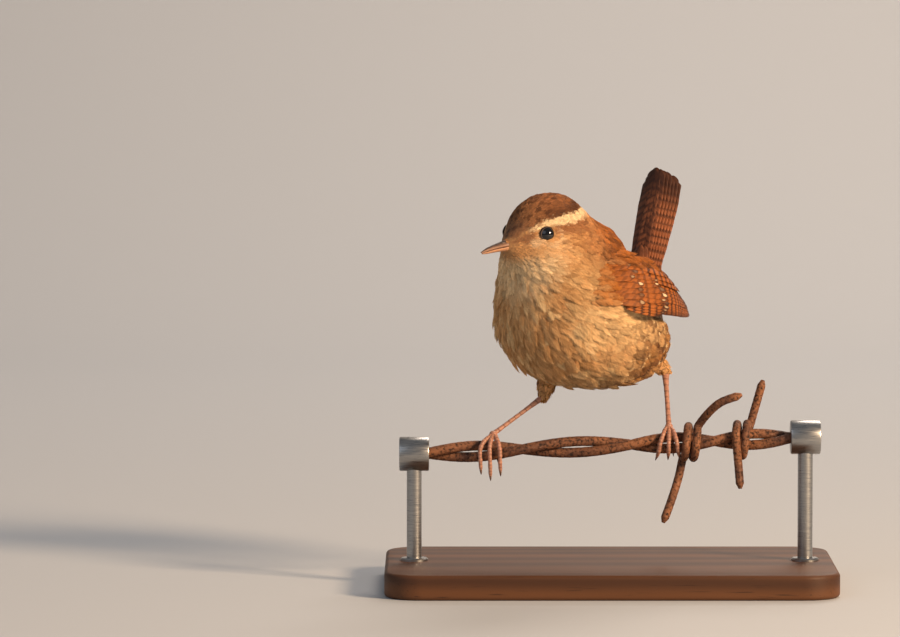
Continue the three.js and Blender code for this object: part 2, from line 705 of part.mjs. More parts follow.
wren.add(
  mesh("head", largest(fuse([above(headSkin, neckCut.head), lids]).subtract(headRooms)), looks.crown),
  mesh("neck", largest(above(below(clearedSkin, neckCut.head + gap), neckCut.torso)), looks.buff),
  mesh("torso", largest(below(clearedSkin, neckCut.torso + gap)), looks.breast),
  mesh("bill_upper", placed(upperBill(), headMatrix), looks.bill),
  mesh("bill_lower", placed(billHalf(-1), headMatrix), looks.billLower),
  mesh("eye_left", placed(eyeball(1, eye.radius), headMatrix), looks.eye),
  mesh("eye_right", placed(eyeball(-1, eye.radius), headMatrix), looks.eye),
  mesh("wing_left", leftWing, looks.wing),
  mesh("wing_right", mirrored(leftWing), looks.wing),
  mesh("tail", tailSolid(), looks.tail),
);
for (const [name, leg] of Object.entries(legParts))
  wren.add(
    mesh("thigh_" + name, leg.thigh, looks.thigh),
    mesh("tarsus_" + name, leg.tarsus, looks.leg),
    mesh("foot_" + name, leg.foot, looks.leg),
  );

const perch = new THREE.Group();
for (const which of [0, 1])
  perch.add(mesh("wire_strand_" + (which + 1), strand(which, wire.strand, rod.at), looks.wire));
barbs.forEach((shape, i) => perch.add(mesh("barb_" + (i + 1), barbSolid(shape), looks.wire)));

const stand = new THREE.Group();
stand.add(
  mesh("stand_base", baseSolid(), looks.stand),
  mesh("stand_rod_left", rodSolid(-1), looks.rod),
  mesh("stand_rod_right", rodSolid(1), looks.rod),
);

const model = new THREE.Group();
model.add(wren, perch, stand);

export default model;
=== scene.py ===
# A life-size wren gripping a cut length of barbed wire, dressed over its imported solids.
# Sizes are millimetres in the bird's own space (X forward, Y to its left, Z up) until a piece is made.
import math

import bmesh
import bpy
import numpy as np
from mathutils import Matrix, Vector


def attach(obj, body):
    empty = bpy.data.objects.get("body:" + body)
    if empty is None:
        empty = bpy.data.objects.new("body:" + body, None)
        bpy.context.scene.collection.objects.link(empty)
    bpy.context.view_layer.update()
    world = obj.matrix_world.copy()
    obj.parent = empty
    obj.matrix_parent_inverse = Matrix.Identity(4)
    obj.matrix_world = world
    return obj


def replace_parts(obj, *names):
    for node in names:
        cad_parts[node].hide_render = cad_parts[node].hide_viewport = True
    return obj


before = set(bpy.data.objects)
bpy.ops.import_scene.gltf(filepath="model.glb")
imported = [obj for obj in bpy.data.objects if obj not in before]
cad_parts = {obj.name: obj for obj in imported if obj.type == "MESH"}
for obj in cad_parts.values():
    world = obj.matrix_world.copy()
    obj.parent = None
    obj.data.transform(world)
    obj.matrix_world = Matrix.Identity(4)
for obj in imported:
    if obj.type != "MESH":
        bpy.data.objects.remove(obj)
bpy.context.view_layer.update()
print("frame loaded:", len(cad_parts), "nodes")

mm = 0.001

stance = {"centre": (-6.9, 3, 64), "yaw": 40}  # yaw is counted from facing the viewer, towards -X
headPose = {"centre": (13.6, 0, 20), "turn": 7, "pitch": -4}
birdSpace = np.array(
    Matrix.Translation(stance["centre"]) @ Matrix.Rotation(math.radians(-90 - stance["yaw"]), 4, "Z")
)
headSpace = np.array(
    Matrix.Translation(headPose["centre"])
    @ Matrix.Rotation(math.radians(-headPose["turn"]), 4, "Z")
    @ Matrix.Rotation(math.radians(-headPose["pitch"]), 4, "Y")
)


def moved(points, space):
    return points @ space[:3, :3].T + space[:3, 3]


def toBird(points):  # from the part's own space, in millimetres
    return moved(np.asarray(points, float), np.linalg.inv(birdSpace))


def toHead(points):
    return moved(points, np.linalg.inv(headSpace))


def fromHead(points):
    return moved(np.asarray(points, float), headSpace)


def ramp(value, low, high):
    share = np.clip((value - low) / (high - low), 0, 1)
    return share * share * (3 - 2 * share)


def unit(vectors):
    return vectors / np.maximum(np.linalg.norm(vectors, axis=-1, keepdims=True), 1e-9)


def linear(hexColour):
    channels = [int(hexColour[i : i + 2], 16) / 255 for i in (1, 3, 5)]
    return tuple(c / 12.92 if c <= 0.04045 else ((c + 0.055) / 1.055) ** 2.4 for c in channels)


# Camera, floor and light

view = {
    "aim": (-38.4, 0, 64.4),
    "elevation": 4,
    "distance": 1500,
    "width": 216,  # seen at the aim
    "sensor": 36,
}
studio = {
    "key": {"from": (0.8, -0.66, 0.42), "colour": "#ffdcb4", "watts": 18.5, "size": 0.22, "distance": 1.1},
    "fill": {"from": (-0.75, -0.7, 0.6), "colour": "#dfe8f5", "watts": 2, "size": 0.9, "distance": 1.3},
    "rim": {"from": (0.3, 0.9, 0.8), "colour": "#ffeedd", "watts": 6, "size": 0.5, "distance": 1.2},
    "sky": {"colour": "#d5d8de", "strength": 0.3},
    "floor": "#c2c5c9",
}


def makeCamera():
    camera = bpy.data.objects.new("camera", bpy.data.cameras.new("camera"))
    bpy.context.scene.collection.objects.link(camera)
    angle = math.radians(view["elevation"])
    back = Vector((0, -math.cos(angle), math.sin(angle)))
    camera.location = (Vector(view["aim"]) + back * view["distance"]) * mm
    camera.rotation_euler = (-back).to_track_quat("-Z", "Y").to_euler()
    camera.data.sensor_width = view["sensor"]
    camera.data.lens = view["sensor"] * view["distance"] / view["width"]
    camera.data.clip_start, camera.data.clip_end = 0.05, 20
    bpy.context.scene.camera = camera


def makeLights():
    aim = Vector(stance["centre"]) * mm
    for name in ("key", "fill", "rim"):
        spec = studio[name]
        lamp = bpy.data.lights.new(name, "AREA")
        lamp.energy, lamp.size, lamp.color = spec["watts"], spec["size"], linear(spec["colour"])
        towards = Vector(spec["from"]).normalized()
        holder = bpy.data.objects.new(name, lamp)
        holder.location = aim + towards * spec["distance"]
        holder.rotation_euler = towards.to_track_quat("Z", "Y").to_euler()
        bpy.context.scene.collection.objects.link(holder)
    world = bpy.data.worlds.new("studio")
    world.use_nodes = True
    sky = world.node_tree.nodes["Background"]
    sky.inputs["Color"].default_value = (*linear(studio["sky"]["colour"]), 1)
    sky.inputs["Strength"].default_value = studio["sky"]["strength"]
    bpy.context.scene.world = world
    bpy.context.scene.view_settings.view_transform = "Standard"


# Meshes and materials


def makePiece(name, points, faces, material, bird=True):
    if bird:
        points = moved(points, birdSpace)
    mesh = bpy.data.meshes.new(name)
    mesh.from_pydata((points * mm).tolist(), [], [tuple(f) for f in faces])
    mesh.validate()
    mesh.shade_smooth()
    mesh.materials.append(material)
    piece = bpy.data.objects.new(name, mesh)
    bpy.context.scene.collection.objects.link(piece)
    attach(piece, "root")
    return piece


def fixNormals(piece):
    work = bmesh.new()
    work.from_mesh(piece.data)
    bmesh.ops.recalc_face_normals(work, faces=work.faces)
    work.to_mesh(piece.data)
    work.free()


def setInputs(tree, node, inputs):
    # an input is another node's output, a colour in hex or a plain value
    pairs = inputs.items() if isinstance(inputs, dict) else enumerate(inputs)
    for key, value in pairs:
        if isinstance(value, bpy.types.NodeSocket):
            tree.links.new(value, node.inputs[key])
        elif isinstance(value, str) and value.startswith("#"):
            node.inputs[key].default_value = (*linear(value), 1)
        else:
            node.inputs[key].default_value = value


def addNode(tree, kind, inputs, output=0, **settings):
    node = tree.nodes.new(kind)
    for key, value in settings.items():
        setattr(node, key, value)
    setInputs(tree, node, inputs)
    return node if output is None else node.outputs[output]


def newMaterial(name, roughness, metallic=0.0, ior=1.5, sheen=0.0, coat=0.0, gloss=0.5):
    material = bpy.data.materials.new(name)
    material.use_nodes = True
    tree = material.node_tree
    shader = tree.nodes["Principled BSDF"]
    setInputs(tree, shader, {
        "Roughness": roughness,
        "Metallic": metallic,
        "IOR": ior,
        "Sheen Weight": sheen,
        "Coat Weight": coat,
        "Specular IOR Level": gloss,
    })
    return material, tree, shader


# In the materials a Map Range takes its value, its range and the range that comes out, in that order.
# A Mix of colours takes its share at 0 and its colours at 6 and 7, and gives the result at 2.


# Contour feathers of keratin: loose barbs scatter light, so there is no gloss, and the base is grey down
def featherMaterial():
    material, tree, shader = newMaterial("contourFeather", 0.85, ior=1.4, sheen=0.06, gloss=0.2)
    tint = addNode(tree, "ShaderNodeAttribute", {}, "Color", attribute_name="tint")
    bars = addNode(tree, "ShaderNodeAttribute", {}, "Fac", attribute_name="bars")
    pale = addNode(tree, "ShaderNodeAttribute", {}, "Fac", attribute_name="pale")
    vane = addNode(tree, "ShaderNodeUVMap", {}, uv_map="vane")
    along = addNode(tree, "ShaderNodeSeparateXYZ", {"Vector": vane}, "X")
    # barbs, about 0.15 mm apart
    stretched = addNode(tree, "ShaderNodeMapping", {"Vector": vane, "Scale": (2.2, 26, 1)})
    barbs = addNode(tree, "ShaderNodeTexNoise", {"Vector": stretched, "Scale": 1, "Detail": 2})
    down = addNode(tree, "ShaderNodeMapRange", (along, 0.45, 0.05, 0, 0.3))
    base = addNode(tree, "ShaderNodeMix", {0: down, 6: tint, 7: "#5a4a3e"}, 2, data_type="RGBA")
    # one dark bar near the tip
    offset = addNode(tree, "ShaderNodeMath", (along, 0.74), operation="SUBTRACT")
    apart = addNode(tree, "ShaderNodeMath", (offset,), operation="ABSOLUTE")
    band = addNode(tree, "ShaderNodeMapRange", (apart, 0.13, 0.05, 0, 1))
    dark = addNode(tree, "ShaderNodeMath", (band, bars), operation="MULTIPLY")
    barred = addNode(tree, "ShaderNodeMix", {0: dark, 6: base, 7: "#5a3822"}, 2, data_type="RGBA")
    tip = addNode(tree, "ShaderNodeMapRange", (along, 0.76, 0.88, 0, 1))
    light = addNode(tree, "ShaderNodeMath", (tip, pale), operation="MULTIPLY")
    tipped = addNode(tree, "ShaderNodeMix", {0: light, 6: barred, 7: "#efd3a2"}, 2, data_type="RGBA")
    shade = addNode(tree, "ShaderNodeMapRange", (barbs, 0.3, 0.72, 0.78, 1.18))
    grey = addNode(tree, "ShaderNodeCombineColor", (shade, shade, shade))
    shaded = {0: 1, 6: tipped, 7: grey}
    finished = addNode(tree, "ShaderNodeMix", shaded, 2, data_type="RGBA", blend_type="MULTIPLY")
    bump = addNode(tree, "ShaderNodeBump", {"Height": barbs, "Strength": 0.35, "Distance": 0.00008})
    setInputs(tree, shader, {"Base Color": finished, "Normal": bump})
    return material


# Skin under the coat: the same markings, darkened in fine patches towards dark brown, partly for the down
# that shows between feathers and partly as painted shade in the gaps between them
def skinMaterial():
    material, tree, shader = newMaterial("downSkinPaintedShade", 0.9, ior=1.45)
    tint = addNode(tree, "ShaderNodeAttribute", {}, "Color", attribute_name="tint")
    place = addNode(tree, "ShaderNodeTexCoord", {}, "Object")
    fuzz = addNode(tree, "ShaderNodeTexNoise", {"Vector": place, "Scale": 1800, "Detail": 3})
    # painted shade of the gaps between feathers, together with the dark down
    shadow = addNode(tree, "ShaderNodeMapRange", (fuzz, 0.3, 0.7, 0.25, 0.6))
    shaded = addNode(tree, "ShaderNodeMix", {0: shadow, 6: tint, 7: "#38281f"}, 2, data_type="RGBA")
    bump = addNode(tree, "ShaderNodeBump", {"Height": fuzz, "Strength": 0.5, "Distance": 0.0002})
    setInputs(tree, shader, {"Base Color": shaded, "Normal": bump})
    return material


# Flight feathers of keratin: close-zipped barbs give a faint satin, with a dark shaft and dark cross bars.
# The pitch of the bars is in millimetres along the feather, and their depth is how dark they get.
def vaneMaterial(name, ground, bar, spot, edge, pitch, depth):
    material, tree, shader = newMaterial(name, 0.62, ior=1.5, gloss=0.25)
    vane = addNode(tree, "ShaderNodeUVMap", {}, uv_map="vane")
    along = addNode(tree, "ShaderNodeSeparateXYZ", {"Vector": vane}, "X")  # in millimetres
    across = addNode(tree, "ShaderNodeSeparateXYZ", {"Vector": vane}, "Y")  # from -1 to 1
    barring = addNode(tree, "ShaderNodeAttribute", {}, "Fac", attribute_name="bars")
    pale = addNode(tree, "ShaderNodeAttribute", {}, "Fac", attribute_name="pale")
    share = addNode(tree, "ShaderNodeAttribute", {}, "Fac", attribute_name="share")
    duskAndShade = addNode(tree, "ShaderNodeAttribute", {}, "Fac", attribute_name="duskAndShade")
    side = addNode(tree, "ShaderNodeMath", (across,), operation="ABSOLUTE")
    # slanted, slightly uneven bars
    slant = addNode(tree, "ShaderNodeMath", (side, 0.9), operation="MULTIPLY")
    slanted = addNode(tree, "ShaderNodeMath", (along, slant), operation="ADD")
    phase = addNode(tree, "ShaderNodeMath", (slanted, 2 * math.pi / pitch), operation="MULTIPLY")
    wave = addNode(tree, "ShaderNodeMath", (phase,), operation="SINE")
    wobble = addNode(tree, "ShaderNodeTexNoise", {"Vector": vane, "Scale": 1.4, "Detail": 2})
    stray = addNode(tree, "ShaderNodeMapRange", (wobble, 0.3, 0.7, -0.7, 0.7))
    uneven = addNode(tree, "ShaderNodeMath", (wave, stray), operation="ADD")
    bars = addNode(tree, "ShaderNodeMapRange", (uneven, -0.1, 0.8, 0, depth))
    dark = addNode(tree, "ShaderNodeMath", (bars, barring), operation="MULTIPLY")
    stretched = addNode(tree, "ShaderNodeMapping", {"Vector": vane, "Scale": (0.8, 14, 1)})
    barbs = addNode(tree, "ShaderNodeTexNoise", {"Vector": stretched, "Scale": 1, "Detail": 3})
    streak = addNode(tree, "ShaderNodeMapRange", (barbs, 0.35, 0.7, 0, 1))
    grounded = addNode(tree, "ShaderNodeMix", {0: streak, 6: ground, 7: edge}, 2, data_type="RGBA")
    barred = addNode(tree, "ShaderNodeMix", {0: dark, 6: grounded, 7: bar}, 2, data_type="RGBA")
    # darker towards each feather's end, a painted shade where the wing's tip curves under, and by the
    # feather's dusk and shade: a random darker tone, and painted shade on the tail's shaded half
    last = addNode(tree, "ShaderNodeMapRange", (share, 0.68, 0.92, 0, 0.9))
    end = addNode(tree, "ShaderNodeMath", (last, barring), operation="MULTIPLY")
    darkest = addNode(tree, "ShaderNodeMath", (end, duskAndShade), operation="MAXIMUM")
    dusky = addNode(tree, "ShaderNodeMix", {0: darkest, 6: barred, 7: bar}, 2, data_type="RGBA")
    # a round pale spot near the tip, in a dark ring
    before = addNode(tree, "ShaderNodeMath", (share, 0.93), operation="SUBTRACT")
    ahead = addNode(tree, "ShaderNodeMath", (before, 0.062), operation="DIVIDE")
    aside = addNode(tree, "ShaderNodeMath", (side, 0.45), operation="DIVIDE")
    aheadSquare = addNode(tree, "ShaderNodeMath", (ahead, ahead), operation="MULTIPLY")
    asideSquare = addNode(tree, "ShaderNodeMath", (aside, aside), operation="MULTIPLY")
    square = addNode(tree, "ShaderNodeMath", (aheadSquare, asideSquare), operation="ADD")
    apart = addNode(tree, "ShaderNodeMath", (square,), operation="SQRT")
    around = addNode(tree, "ShaderNodeMapRange", (apart, 1.7, 1.2, 0, 0.6))
    spotted = addNode(tree, "ShaderNodeMath", (pale, 0.05), operation="GREATER_THAN")
    ring = addNode(tree, "ShaderNodeMath", (around, spotted), operation="MULTIPLY")
    ringed = addNode(tree, "ShaderNodeMix", {0: ring, 6: dusky, 7: bar}, 2, data_type="RGBA")
    within = addNode(tree, "ShaderNodeMapRange", (apart, 1.05, 0.6, 0, 1))
    light = addNode(tree, "ShaderNodeMath", (within, pale), operation="MULTIPLY")
    tipped = addNode(tree, "ShaderNodeMix", {0: light, 6: ringed, 7: spot}, 2, data_type="RGBA")
    shaft = addNode(tree, "ShaderNodeMapRange", (side, 0.1, 0.03, 0, 0.55))
    finished = addNode(tree, "ShaderNodeMix", {0: shaft, 6: tipped, 7: bar}, 2, data_type="RGBA")
    bump = addNode(tree, "ShaderNodeBump", {"Height": barbs, "Strength": 0.4, "Distance": 0.0001})
    setInputs(tree, shader, {"Base Color": finished, "Normal": bump})
    return material


# Bill of keratin over bone: smooth, faintly waxy horn that turns flesh-coloured below
def billMaterial(name, ridge, flank):
    material, tree, shader = newMaterial(name, 0.5, ior=1.54, gloss=0.35)
    place = addNode(tree, "ShaderNodeTexCoord", {}, "Object")
    mottle = addNode(tree, "ShaderNodeTexNoise", {"Vector": place, "Scale": 900, "Detail": 4})
    height = addNode(tree, "ShaderNodeAttribute", {}, "Fac", attribute_name="ridge")
    stray = addNode(tree, "ShaderNodeMapRange", (mottle, 0.3, 0.7, -0.12, 0.12))
    uneven = addNode(tree, "ShaderNodeMath", (height, stray), operation="ADD")
    share = addNode(tree, "ShaderNodeMapRange", (uneven, 0.25, 0.85, 0, 1))
    horn = addNode(tree, "ShaderNodeMix", {0: share, 6: flank, 7: ridge}, 2, data_type="RGBA")
    bump = addNode(tree, "ShaderNodeBump", {"Height": mottle, "Strength": 0.15, "Distance": 0.0001})
    setInputs(tree, shader, {"Base Color": horn, "Normal": bump})
    return material


# Eye: a wet cornea over a very dark brown iris, which reads as black with one sharp highlight
def eyeMaterial():
    material, tree, shader = newMaterial("wetEye", 0.03, ior=1.376, coat=1.0)
    pupil = addNode(tree, "ShaderNodeAttribute", {}, "Fac", attribute_name="pupil")
    share = addNode(tree, "ShaderNodeMapRange", (pupil, 0.5, 0.62, 0, 1))
    iris = addNode(tree, "ShaderNodeMix", {0: share, 6: "#2a160c", 7: "#050403"}, 2, data_type="RGBA")
    setInputs(tree, shader, {"Base Color": iris})
    return material


# Bare lid: dark brown skin with a matt, finely wrinkled surface
def lidMaterial():
    material, tree, shader = newMaterial("bareLid", 0.6, ior=1.45)
    place = addNode(tree, "ShaderNodeTexCoord", {}, "Object")
    grain = addNode(tree, "ShaderNodeTexNoise", {"Vector": place, "Scale": 2600, "Detail": 2})
    share = addNode(tree, "ShaderNodeMapRange", (grain, 0.3, 0.7, 0, 1))
    lid = addNode(tree, "ShaderNodeMix", {0: share, 6: "#21150e", 7: "#4a3324"}, 2, data_type="RGBA")
    bump = addNode(tree, "ShaderNodeBump", {"Height": grain, "Strength": 0.3, "Distance": 0.0001})
    setInputs(tree, shader, {"Base Color": lid, "Normal": bump})
    return material


# Leg scales of keratin over skin: pinkish brown, slightly glossy, darker in the joints between scutes
def legMaterial():
    material, tree, shader = newMaterial("legScale", 0.42, ior=1.5)
    place = addNode(tree, "ShaderNodeTexCoord", {}, "Object")
    mottle = addNode(tree, "ShaderNodeTexNoise", {"Vector": place, "Scale": 1400, "Detail": 3})
    scales = {"Vector": place, "Scale": 1700}
    cells = addNode(tree, "ShaderNodeTexVoronoi", scales, "Distance", feature="DISTANCE_TO_EDGE")
    seam = addNode(tree, "ShaderNodeAttribute", {}, "Fac", attribute_name="seam")
    share = addNode(tree, "ShaderNodeMapRange", (mottle, 0.3, 0.7, 0, 1))
    flesh = addNode(tree, "ShaderNodeMix", {0: share, 6: "#c08c74", 7: "#9a6a55"}, 2, data_type="RGBA")
    joint = addNode(tree, "ShaderNodeMath", (seam, 0.7), operation="MULTIPLY")
    shaded = addNode(tree, "ShaderNodeMix", {0: joint, 6: flesh, 7: "#5a382c"}, 2, data_type="RGBA")
    grain = addNode(tree, "ShaderNodeMapRange", (cells, 0, 0.12, 0, 1))
    bump = addNode(tree, "ShaderNodeBump", {"Height": grain, "Strength": 0.3, "Distance": 0.00008})
    setInputs(tree, shader, {"Base Color": shaded, "Normal": bump})
    setInputs(tree, shader, {"Subsurface Weight": 0.12, "Subsurface Scale": 0.0006})
    return material


# Claw of dark horn, paler at its root
def clawMaterial():
    material, tree, shader = newMaterial("clawHorn", 0.3, ior=1.54)
    along = addNode(tree, "ShaderNodeAttribute", {}, "Fac", attribute_name="seam")
    horn = addNode(tree, "ShaderNodeMix", {0: along, 6: "#8a6450", 7: "#3c2a22"}, 2, data_type="RGBA")
    setInputs(tree, shader, {"Base Color": horn})
    return material


# Galvanised steel wire whose zinc has gone: matt brown rust with darker pits and a few worn grey places
def rustMaterial():
    material, tree, shader = newMaterial("rustedWire", 0.8, metallic=0.25)
    place = addNode(tree, "ShaderNodeTexCoord", {}, "Object")
    broad = addNode(tree, "ShaderNodeTexNoise", {"Vector": place, "Scale": 160, "Detail": 6})
    fine = addNode(tree, "ShaderNodeTexNoise", {"Vector": place, "Scale": 1500, "Detail": 4})
    cloud = addNode(tree, "ShaderNodeMapRange", (broad, 0.35, 0.65, 0, 1))
    rust = addNode(tree, "ShaderNodeMix", {0: cloud, 6: "#5b3a2c", 7: "#93603f"}, 2, data_type="RGBA")
    pit = addNode(tree, "ShaderNodeMapRange", (fine, 0.52, 0.34, 0, 1))
    pitted = addNode(tree, "ShaderNodeMix", {0: pit, 6: rust, 7: "#30201a"}, 2, data_type="RGBA")
    bare = addNode(tree, "ShaderNodeMapRange", (fine, 0.62, 0.74, 0, 0.55))
    worn = addNode(tree, "ShaderNodeMix", {0: bare, 6: pitted, 7: "#a08470"}, 2, data_type="RGBA")
    rough = addNode(tree, "ShaderNodeMapRange", (fine, 0.3, 0.7, 0.92, 0.6))
    height = addNode(tree, "ShaderNodeMath", (fine, broad), operation="ADD")
    bump = addNode(tree, "ShaderNodeBump", {"Height": height, "Strength": 0.6, "Distance": 0.0003})
    setInputs(tree, shader, {"Base Color": worn, "Roughness": rough, "Normal": bump})
    return material


# Oiled walnut: long dark grain along X, growth rings about 3 mm apart, and a soft satin
def walnutMaterial():
    material, tree, shader = newMaterial("oiledWalnut", 0.55, ior=1.5, gloss=0.3)
    place = addNode(tree, "ShaderNodeTexCoord", {}, "Object")
    heart = {"Vector": place, "Scale": (0.12, 1, 1), "Location": (0, 0.03, 0.05)}
    log = addNode(tree, "ShaderNodeMapping", heart)
    bend = addNode(tree, "ShaderNodeTexNoise", {"Vector": log, "Scale": 60, "Detail": 4})
    growth = {"Vector": log, "Scale": 52, "Distortion": 3, "Detail": 3}
    rings = addNode(tree, "ShaderNodeTexWave", growth, "Fac", wave_type="RINGS", rings_direction="X")
    pores = addNode(tree, "ShaderNodeMapping", {"Vector": place, "Scale": (90, 2600, 2600)})
    dots = addNode(tree, "ShaderNodeTexNoise", {"Vector": pores, "Scale": 1, "Detail": 2})
    wood = addNode(tree, "ShaderNodeMix", {0: rings, 6: "#4a2d1c", 7: "#6d4529"}, 2, data_type="RGBA")
    streak = addNode(tree, "ShaderNodeMapRange", (bend, 0.3, 0.7, 0, 0.5))
    toned = addNode(tree, "ShaderNodeMix", {0: streak, 6: wood, 7: "#38210f"}, 2, data_type="RGBA")
    pore = addNode(tree, "ShaderNodeMapRange", (dots, 0.62, 0.72, 0, 0.7))
    pored = addNode(tree, "ShaderNodeMix", {0: pore, 6: toned, 7: "#20120a"}, 2, data_type="RGBA")
    bump = addNode(tree, "ShaderNodeBump", {"Height": dots, "Strength": 0.25, "Distance": 0.0001})
    setInputs(tree, shader, {"Base Color": pored, "Normal": bump})
    return material


# Turned mild steel, brushed round its axis
def steelMaterial():
    material, tree, shader = newMaterial("satinSteel", 0.33, metallic=1.0)
    place = addNode(tree, "ShaderNodeTexCoord", {}, "Object")
    drawn = addNode(tree, "ShaderNodeMapping", {"Vector": place, "Scale": (400, 400, 9000)})
    lines = addNode(tree, "ShaderNodeTexNoise", {"Vector": drawn, "Scale": 1, "Detail": 3})
    share = addNode(tree, "ShaderNodeMapRange", (lines, 0.3, 0.7, 0, 1))
    grey = addNode(tree, "ShaderNodeMix", {0: share, 6: "#8f9092", 7: "#b4b3b0"}, 2, data_type="RGBA")
    rough = addNode(tree, "ShaderNodeMapRange", (lines, 0.3, 0.7, 0.26, 0.4))
    setInputs(tree, shader, {"Base Color": grey, "Roughness": rough})
    return material


# Matt painted studio floor
def floorMaterial():
    material, tree, shader = newMaterial("paleFloor", 0.8)
    setInputs(tree, shader, {"Base Color": studio["floor"]})
    return material


materials = {
    "feather": featherMaterial(),
    "skin": skinMaterial(),
    "wing": vaneMaterial("wingVane", "#95501f", "#3f2213", "#f3d3a6", "#b4692d", 2.1, 0.9),
    "tail": vaneMaterial("tailVane", "#854b2c", "#3d241a", "#dcb690", "#b26e49", 1.8, 0.7),
    "billUpper": billMaterial("billHorn", "#3d2d26", "#8f6851"),
    "billLower": billMaterial("billPale", "#a87a5c", "#bd8c6a"),
    "eye": eyeMaterial(),
    "lid": lidMaterial(),
    "leg": legMaterial(),
    "claw": clawMaterial(),
    "rust": rustMaterial(),
    "walnut": walnutMaterial(),
    "steel": steelMaterial(),
    "floor": floorMaterial(),
}

makeCamera()
makeLights()


# The floor is one sheet that runs back and curves up behind
sheet = {"front": -900, "back": 700, "bend": 500, "top": 2400, "half": 2600}


def makeFloor():
    profile = [(sheet["front"], 0), (sheet["back"], 0)]
    for a in np.linspace(0.08, math.pi / 2, 16):
        profile.append((sheet["back"] + sheet["bend"] * math.sin(a), sheet["bend"] * (1 - math.cos(a))))
    profile.append((sheet["back"] + sheet["bend"], sheet["top"]))
    points = np.array([(x, y, z) for y, z in profile for x in (-sheet["half"], sheet["half"])], float)
    faces = [(2 * i, 2 * i + 1, 2 * i + 3, 2 * i + 2) for i in range(len(profile) - 1)]
    mesh = bpy.data.meshes.new("floor")
    mesh.from_pydata((points * mm).tolist(), [], faces)
    mesh.shade_smooth()
    mesh.materials.append(materials["floor"])
    floor = bpy.data.objects.new("floor", mesh)
    bpy.context.scene.collection.objects.link(floor)


makeFloor()
print("camera, lights and floor made")

# Shape of the plumage: ellipsoids melted together. A form with a side is doubled on the other side.
bodyForms = [
    {"name": "breast", "at": (6, 0, 1.5), "r": (16.8, 18.6, 15.6)},
    {"name": "belly", "at": (-3, 0, -4), "r": (18.5, 17.8, 12)},
    {"name": "flank", "at": (-5, 6.5, -5), "r": (13.5, 11.5, 10.6), "side": True},
    {"name": "back", "at": (-6, 0, 6), "r": (15.5, 14, 12)},
    {"name": "rump", "at": (-16.5, 0, 3.5), "r": (9.5, 9.5, 9)},
    {"name": "vent", "at": (-15, 0, -5.5), "r": (10, 10.5, 8)},
    {"name": "neck", "at": (11, 0, 11.5), "r": (12.2, 13.6, 11.5)},
    {"name": "mantle", "at": (2.6, 0, 15.6), "r": (12.5, 12.3, 10)},
]
headForms = [
    {"name": "skull", "at": (-1, 0, 0.9), "r": (11.5, 9.9, 10.6)},
    {"name": "cheek", "at": (0.5, 4, -3.2), "r": (7.5, 5.4, 5.6), "side": True},
    {"name": "face", "at": (7.2, 0, -0.9), "r": (5.2, 4.9, 4.6)},
    {"name": "nape", "at": (-6, 0, -5), "r": (8, 9, 8)},
    {"name": "snout", "at": (9.8, 0, -0.4), "r": (4.0, 2.2, 1.8)},  # feathers that run out along the bill
]
melts = {"body": 6, "head": 3.5, "neck": 5}
eye = {"at": (5.4, 6, 1.9), "radius": 2.1, "lid": 1.74}
billPlace = {"edge": 11.4, "lift": -0.35}
billRoot = fromHead([[billPlace["edge"], 0, billPlace["lift"]]])[0]


def ellipsoid(points, form):
    p = points.copy()
    if form.get("side"):
        p[:, 1] = np.abs(p[:, 1])
    q = (p - form["at"]) / form["r"]
    near = np.linalg.norm(q, axis=1)
    return near * (near - 1) / np.maximum(np.linalg.norm(q / form["r"], axis=1), 1e-9)


def melt(a, b, reach):
    share = np.maximum(reach - np.abs(a - b), 0) / reach
    return np.minimum(a, b) - share * share * reach / 4


def meltAll(points, forms, reach):
    made = ellipsoid(points, forms[0])
    for form in forms[1:]:
        made = melt(made, ellipsoid(points, form), reach)
    return made


def headField(points):
    return meltAll(toHead(points), headForms, melts["head"])


def bodyField(points):
    return meltAll(points, bodyForms, melts["body"])


def plumage(points):
    return melt(bodyField(points), headField(points), melts["neck"])


def outward(points):
    step = 0.05
    slopes = [plumage(points + step * axis) - plumage(points - step * axis) for axis in np.eye(3)]
    return unit(np.stack(slopes, axis=1))


coat = {
    "depth": {"face": 0.45, "head": 0.8, "body": 1.25},
    "start": (4.5, 0, 8),  # the skin is seen whole from here
    "end": (-27, 0, 3),  # the courses of the feathers meet here
    "reach": 60.0,  # the skin lies nearer than this
    "halvings": 26,
    "rings": 150,
    "columns": 260,
    "candidates": 330000,  # places tried for a feather
    "spacing": {"head": 0.205, "body": 0.152},  # as a share of the feather's length
    "sunk": 0.08,
}


def headShare(points):
    return ramp(bodyField(points) - headField(points), -3, 4)


def coatDepth(points):
    share = headShare(points)
    ahead = ramp(toHead(points)[:, 0], 3, 10)
    head = coat["depth"]["head"] * (1 - ahead) + coat["depth"]["face"] * ahead
    return coat["depth"]["body"] * (1 - share) + head * share


def skinAt(directions):
    low = np.zeros(len(directions))
    high = np.full(len(directions), coat["reach"])
    start = np.array(coat["start"])
    for _ in range(coat["halvings"]):
        middle = (low + high) / 2
        there = start + directions * middle[:, None]
        inside = plumage(there) + coatDepth(there) < 0
        low, high = np.where(inside, middle, low), np.where(inside, high, middle)
    return start + directions * low[:, None]


